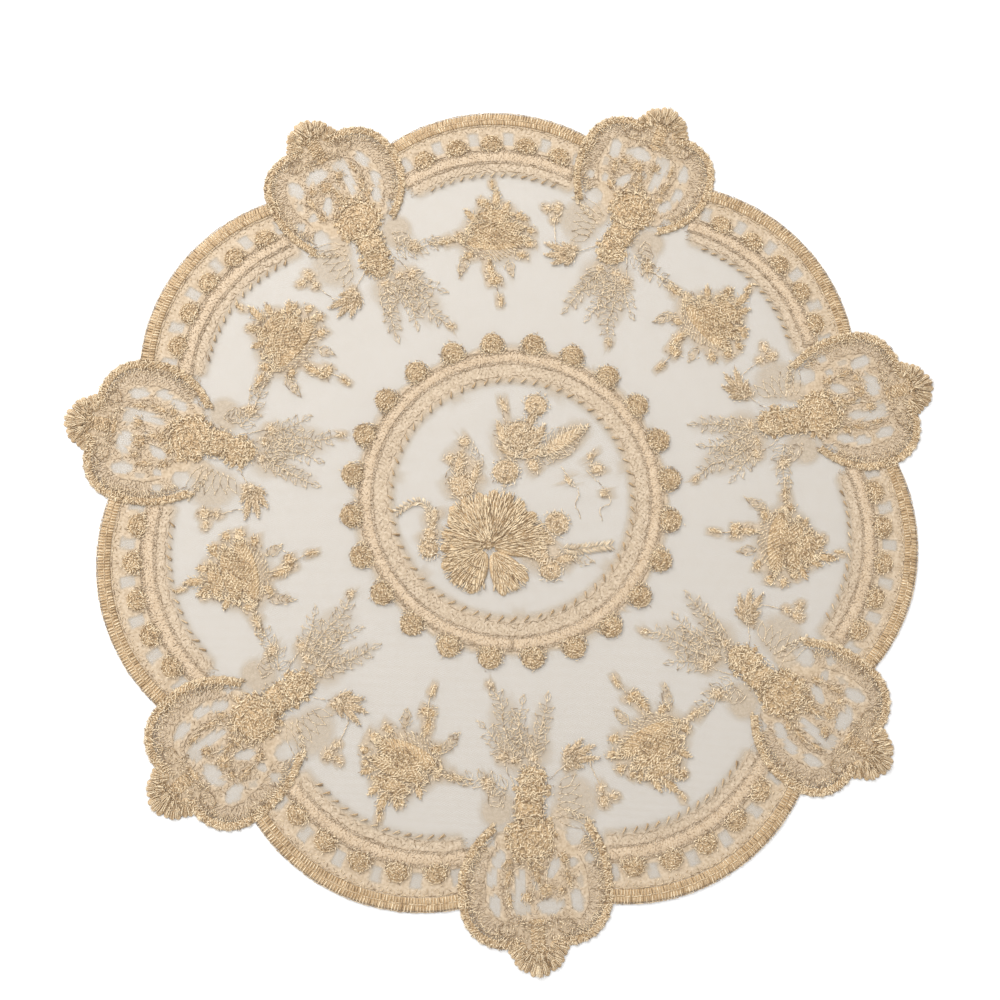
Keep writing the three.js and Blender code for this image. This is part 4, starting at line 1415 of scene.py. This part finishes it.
# The mat's radius in each direction: the furthest crossing of a ray from the middle with the circles.
def outlineRadius(turns):
    ray = headings(turns)
    reach = np.zeros(len(turns))
    shapes = []
    for i in lobes:
        shapes.append((matLayout["scallop"], scallopPlace(i)))
        for key in ("shoulder", "lowPetal", "petal", "tip"):
            x, y, r = matLayout[key]
            shapes += [((x, y, r), lobePlace(i)), ((-x, y, r), lobePlace(i))]
    for (x, y, r), place in shapes:
        centre = moved(np.array([[x, y]]), *place)[0]
        along = ray @ centre
        left = r**2 - (centre @ centre - along**2)
        crossing = along + np.sqrt(np.maximum(left, 0))
        reach = np.where((left > 0) & (along > 0), np.maximum(reach, crossing), reach)
    return reach


# The reverse of moved: places on the mat, seen from a frame.
def backInto(points, direction, reach=0.0):
    c, s = math.cos(direction), math.sin(direction)
    x, y = points[:, 0], points[:, 1]
    return np.column_stack([x * s - y * c, x * c + y * s - reach])


# Soft ovals of darning under clusters, a little larger than they are, and under leaves.
def under(rows, grow=0.9):
    return [(x, y, a + grow, b + grow, aim, 0.4) for x, y, a, b, aim in rows]


def underLeaves(rows, strength=0.42):
    return [(x, y, length * 0.45, width * 0.42, aim, strength) for x, y, aim, length, width in rows]


stripDarning = dict(    # in the border
    start=56.6, fade=4, level=0.47,                           # from this radius about railCentre on
    sewnFrom=63.6, sewn=0.3, sewnOutside=0.2, outside=66,     # and sewn over, less beyond the rosettes' feet
    rim=76, halfAngle=40, endFade=3,
)
gapDarning = dict(    # left out between the rosettes: at a radius, with soft sides
    at=64.2, height=3.2, heightSlope=0.85, breadth=2.8, breadthSlope=14, openness=0.9,
)
ringDarning = dict(start=44.5, fade=4, end=62, endFade=2, level=0.46, sewnFrom=54.6, sewnTo=60, sewn=0.2)


def borderDarning(field):
    w, g = stripDarning, gapDarning
    x, y = field[:, 0], field[:, 1]
    turn = np.degrees(np.arctan2(x, y - scallopCentre[1]))
    railRadius = np.hypot(x, y - railCentre[1])
    radius = np.hypot(x, y - scallopCentre[1])
    closer = np.where(radius < w["outside"], w["sewn"], w["sewnOutside"])
    strip = w["level"] * np.clip((railRadius - w["start"]) / w["fade"], 0, 1) * (radius < w["rim"])
    strip = strip + np.clip((railRadius - w["sewnFrom"]) * 2, 0, 1) * closer
    away = np.abs((turn / rosetteWork["step"]) % 1 - 0.5)
    between = np.clip(g["breadth"] - away * g["breadthSlope"], 0, 1)
    gap = between * np.clip(g["height"] - np.abs(radius - g["at"]) * g["heightSlope"], 0, 1)
    ends = np.clip((w["halfAngle"] - np.abs(turn)) / w["endFade"], 0, 1)
    return strip * (1 - g["openness"] * gap) * ends


# How closely the net is sewn at each point: darned from 0 to a half, and sewn over from there to 1.
def darning(points):
    level = np.zeros(len(points))
    lobeOvals = list(lobeDarning) + under(lobeClusters) + underLeaves(lobeLoops, 0.2)
    fieldOvals = under(fieldClusters, 0.7) + underLeaves(fieldLoops)
    for i in lobes:
        own = backInto(points, *lobePlace(i))
        level = np.maximum(level, softOvals(own, lobeOvals) * (1 - softOvals(own, lobeOpenings, 0.24)))
        level = np.maximum(level, borderDarning(backInto(points, *scallopPlace(i))))
        field = backInto(points, *scallopPlace(i, crown=False))
        level = np.maximum(level, softOvals(field, fieldOvals))
    w = ringDarning
    radius = np.hypot(points[:, 0], points[:, 1])
    inner = np.clip((radius - w["start"]) / w["fade"], 0, 1)
    ring = inner * np.clip((w["end"] - radius) / w["endFade"], 0, 1)
    closer = w["sewn"] * np.clip((radius - w["sewnFrom"]) * 2, 0, 1) * (radius < w["sewnTo"])
    level = np.maximum(level, ring * w["level"] + closer)
    return np.maximum(level, softOvals(points, under(middleClusters) + list(middleDarning)))


netRings = ((0.27, 9), (0.38, 12), (0.72, 18), (1.0, 38))   # up to this share, so many rings more


# A polar grid, closer where the detail is: each ring is a share of the outline's radius, and the height
# has slow ripples.
def makeNet():
    turns = np.linspace(0, 2 * math.pi, netSheet["turns"], endpoint=False)
    rim = outlineRadius(turns) - netSheet["inset"]
    ends = np.array([0.0] + [end for end, _ in netRings])
    counts = np.cumsum([0] + [count for _, count in netRings])
    share = np.interp(np.arange(1, counts[-1] + 1), counts, ends)[:, None]
    x, y = share * rim * np.cos(turns), share * rim * np.sin(turns)
    ripple = np.sin(x * 0.11 + 0.7 * np.sin(y * 0.05)) * np.cos(y * 0.09 + 0.4)
    z = netSheet["z"] + netSheet["ripple"] * ripple
    points = np.concatenate([[[0, 0, netSheet["z"]]], np.stack([x, y, z], -1).reshape(-1, 3)])
    count = netSheet["turns"]
    ring, k = np.meshgrid(np.arange(len(share) - 1), np.arange(count), indexing="ij")
    ring, k = ring.ravel(), k.ravel()

    def corner(r, s):
        return 1 + r * count + s % count

    a, b, c, d = corner(ring, k), corner(ring + 1, k), corner(ring + 1, k + 1), corner(ring, k + 1)
    s = np.arange(count)
    groups = ((a, b, c), (a, c, d), (0 * s, corner(0, s), corner(0, s + 1)))
    faces = np.concatenate([np.column_stack(g) for g in groups])
    uv = points[faces][..., :2].reshape(-1, 2)
    net = meshPiece("net_ground", points, faces, uv, darning(points[:, :2]), makeNetMaterial())
    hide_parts("lace_mat")
    print("net_ground", len(faces), "triangles")


makeNet()


# Floor, light and camera

stageLook = dict(
    floor=(0.78, 0.78, 0.78), roughness=0.95, specular=0.1, size=3.0,
    world=0.84, key=18.0, keySize=0.8, keyAt=(-0.55, 0.65, 0.95),
)


def axesMatrix(right, up, back, at):
    rows = [[right[k], up[k], back[k], at[k]] for k in range(3)]
    return Matrix(rows + [[0, 0, 0, 1]])


def makeStage():
    s = stageLook["size"]
    mesh = bpy.data.meshes.new("floor")
    mesh.from_pydata([(-s, -s, 0), (s, -s, 0), (s, s, 0), (-s, s, 0)], [], [(0, 1, 2, 3)])
    floor = bpy.data.objects.new("floor", mesh)
    bpy.context.scene.collection.objects.link(floor)
    material, tree, shader = newMaterial("paper_floor")
    feed(tree, shader, {
        "Base Color": stageLook["floor"],
        "Roughness": stageLook["roughness"],
        "Specular IOR Level": stageLook["specular"],
    })
    mesh.materials.append(material)

    world = bpy.data.worlds.new("studio")
    world.use_nodes = True
    sky = world.node_tree.nodes["Background"]
    feed(world.node_tree, sky, {"Color": (1, 1, 1), "Strength": stageLook["world"]})
    bpy.context.scene.world = world

    light = bpy.data.lights.new("key", "AREA")
    light.energy = stageLook["key"]
    light.size = stageLook["keySize"]
    lamp = bpy.data.objects.new("key", light)
    bpy.context.scene.collection.objects.link(lamp)
    lamp.location = stageLook["keyAt"]
    back = np.array(stageLook["keyAt"]) / np.linalg.norm(stageLook["keyAt"])
    right = np.cross([0, 0, 1], back)
    right /= np.linalg.norm(right)
    lamp.matrix_world = axesMatrix(right, np.cross(back, right), back, stageLook["keyAt"])


cameraLook = dict(
    lens=43.2, sensor=36.0, tilt=10.63, yaw=3.17, roll=0.1, distance=468.2, centre=(-4.75, -1.0, 0),
)


# The camera looks down at the mat from the near side: tilted about x, turned about y, then rolled.
def makeCamera():
    w = cameraLook
    (ct, st), (cy, sy), (cr, sr) = (axesOf(w[key])[0] for key in ("tilt", "yaw", "roll"))
    right = np.array([cy, -sy * st, sy * ct])
    up = np.array([0, ct, st])
    back = np.array([-sy, -cy * st, cy * ct])
    right, up = right * cr + up * sr, up * cr - right * sr
    at = [w["distance"] * back[k] * mm + w["centre"][k] * mm for k in range(3)]
    lens = bpy.data.cameras.new("camera")
    lens.lens = w["lens"]
    lens.sensor_width = w["sensor"]
    lens.clip_start = 0.01
    camera = bpy.data.objects.new("camera", lens)
    bpy.context.scene.collection.objects.link(camera)
    camera.matrix_world = axesMatrix(right, up, back, at)
    bpy.context.scene.camera = camera


makeStage()
makeCamera()
bpy.context.scene.view_settings.view_transform = "Standard"
print("stage and camera ready")
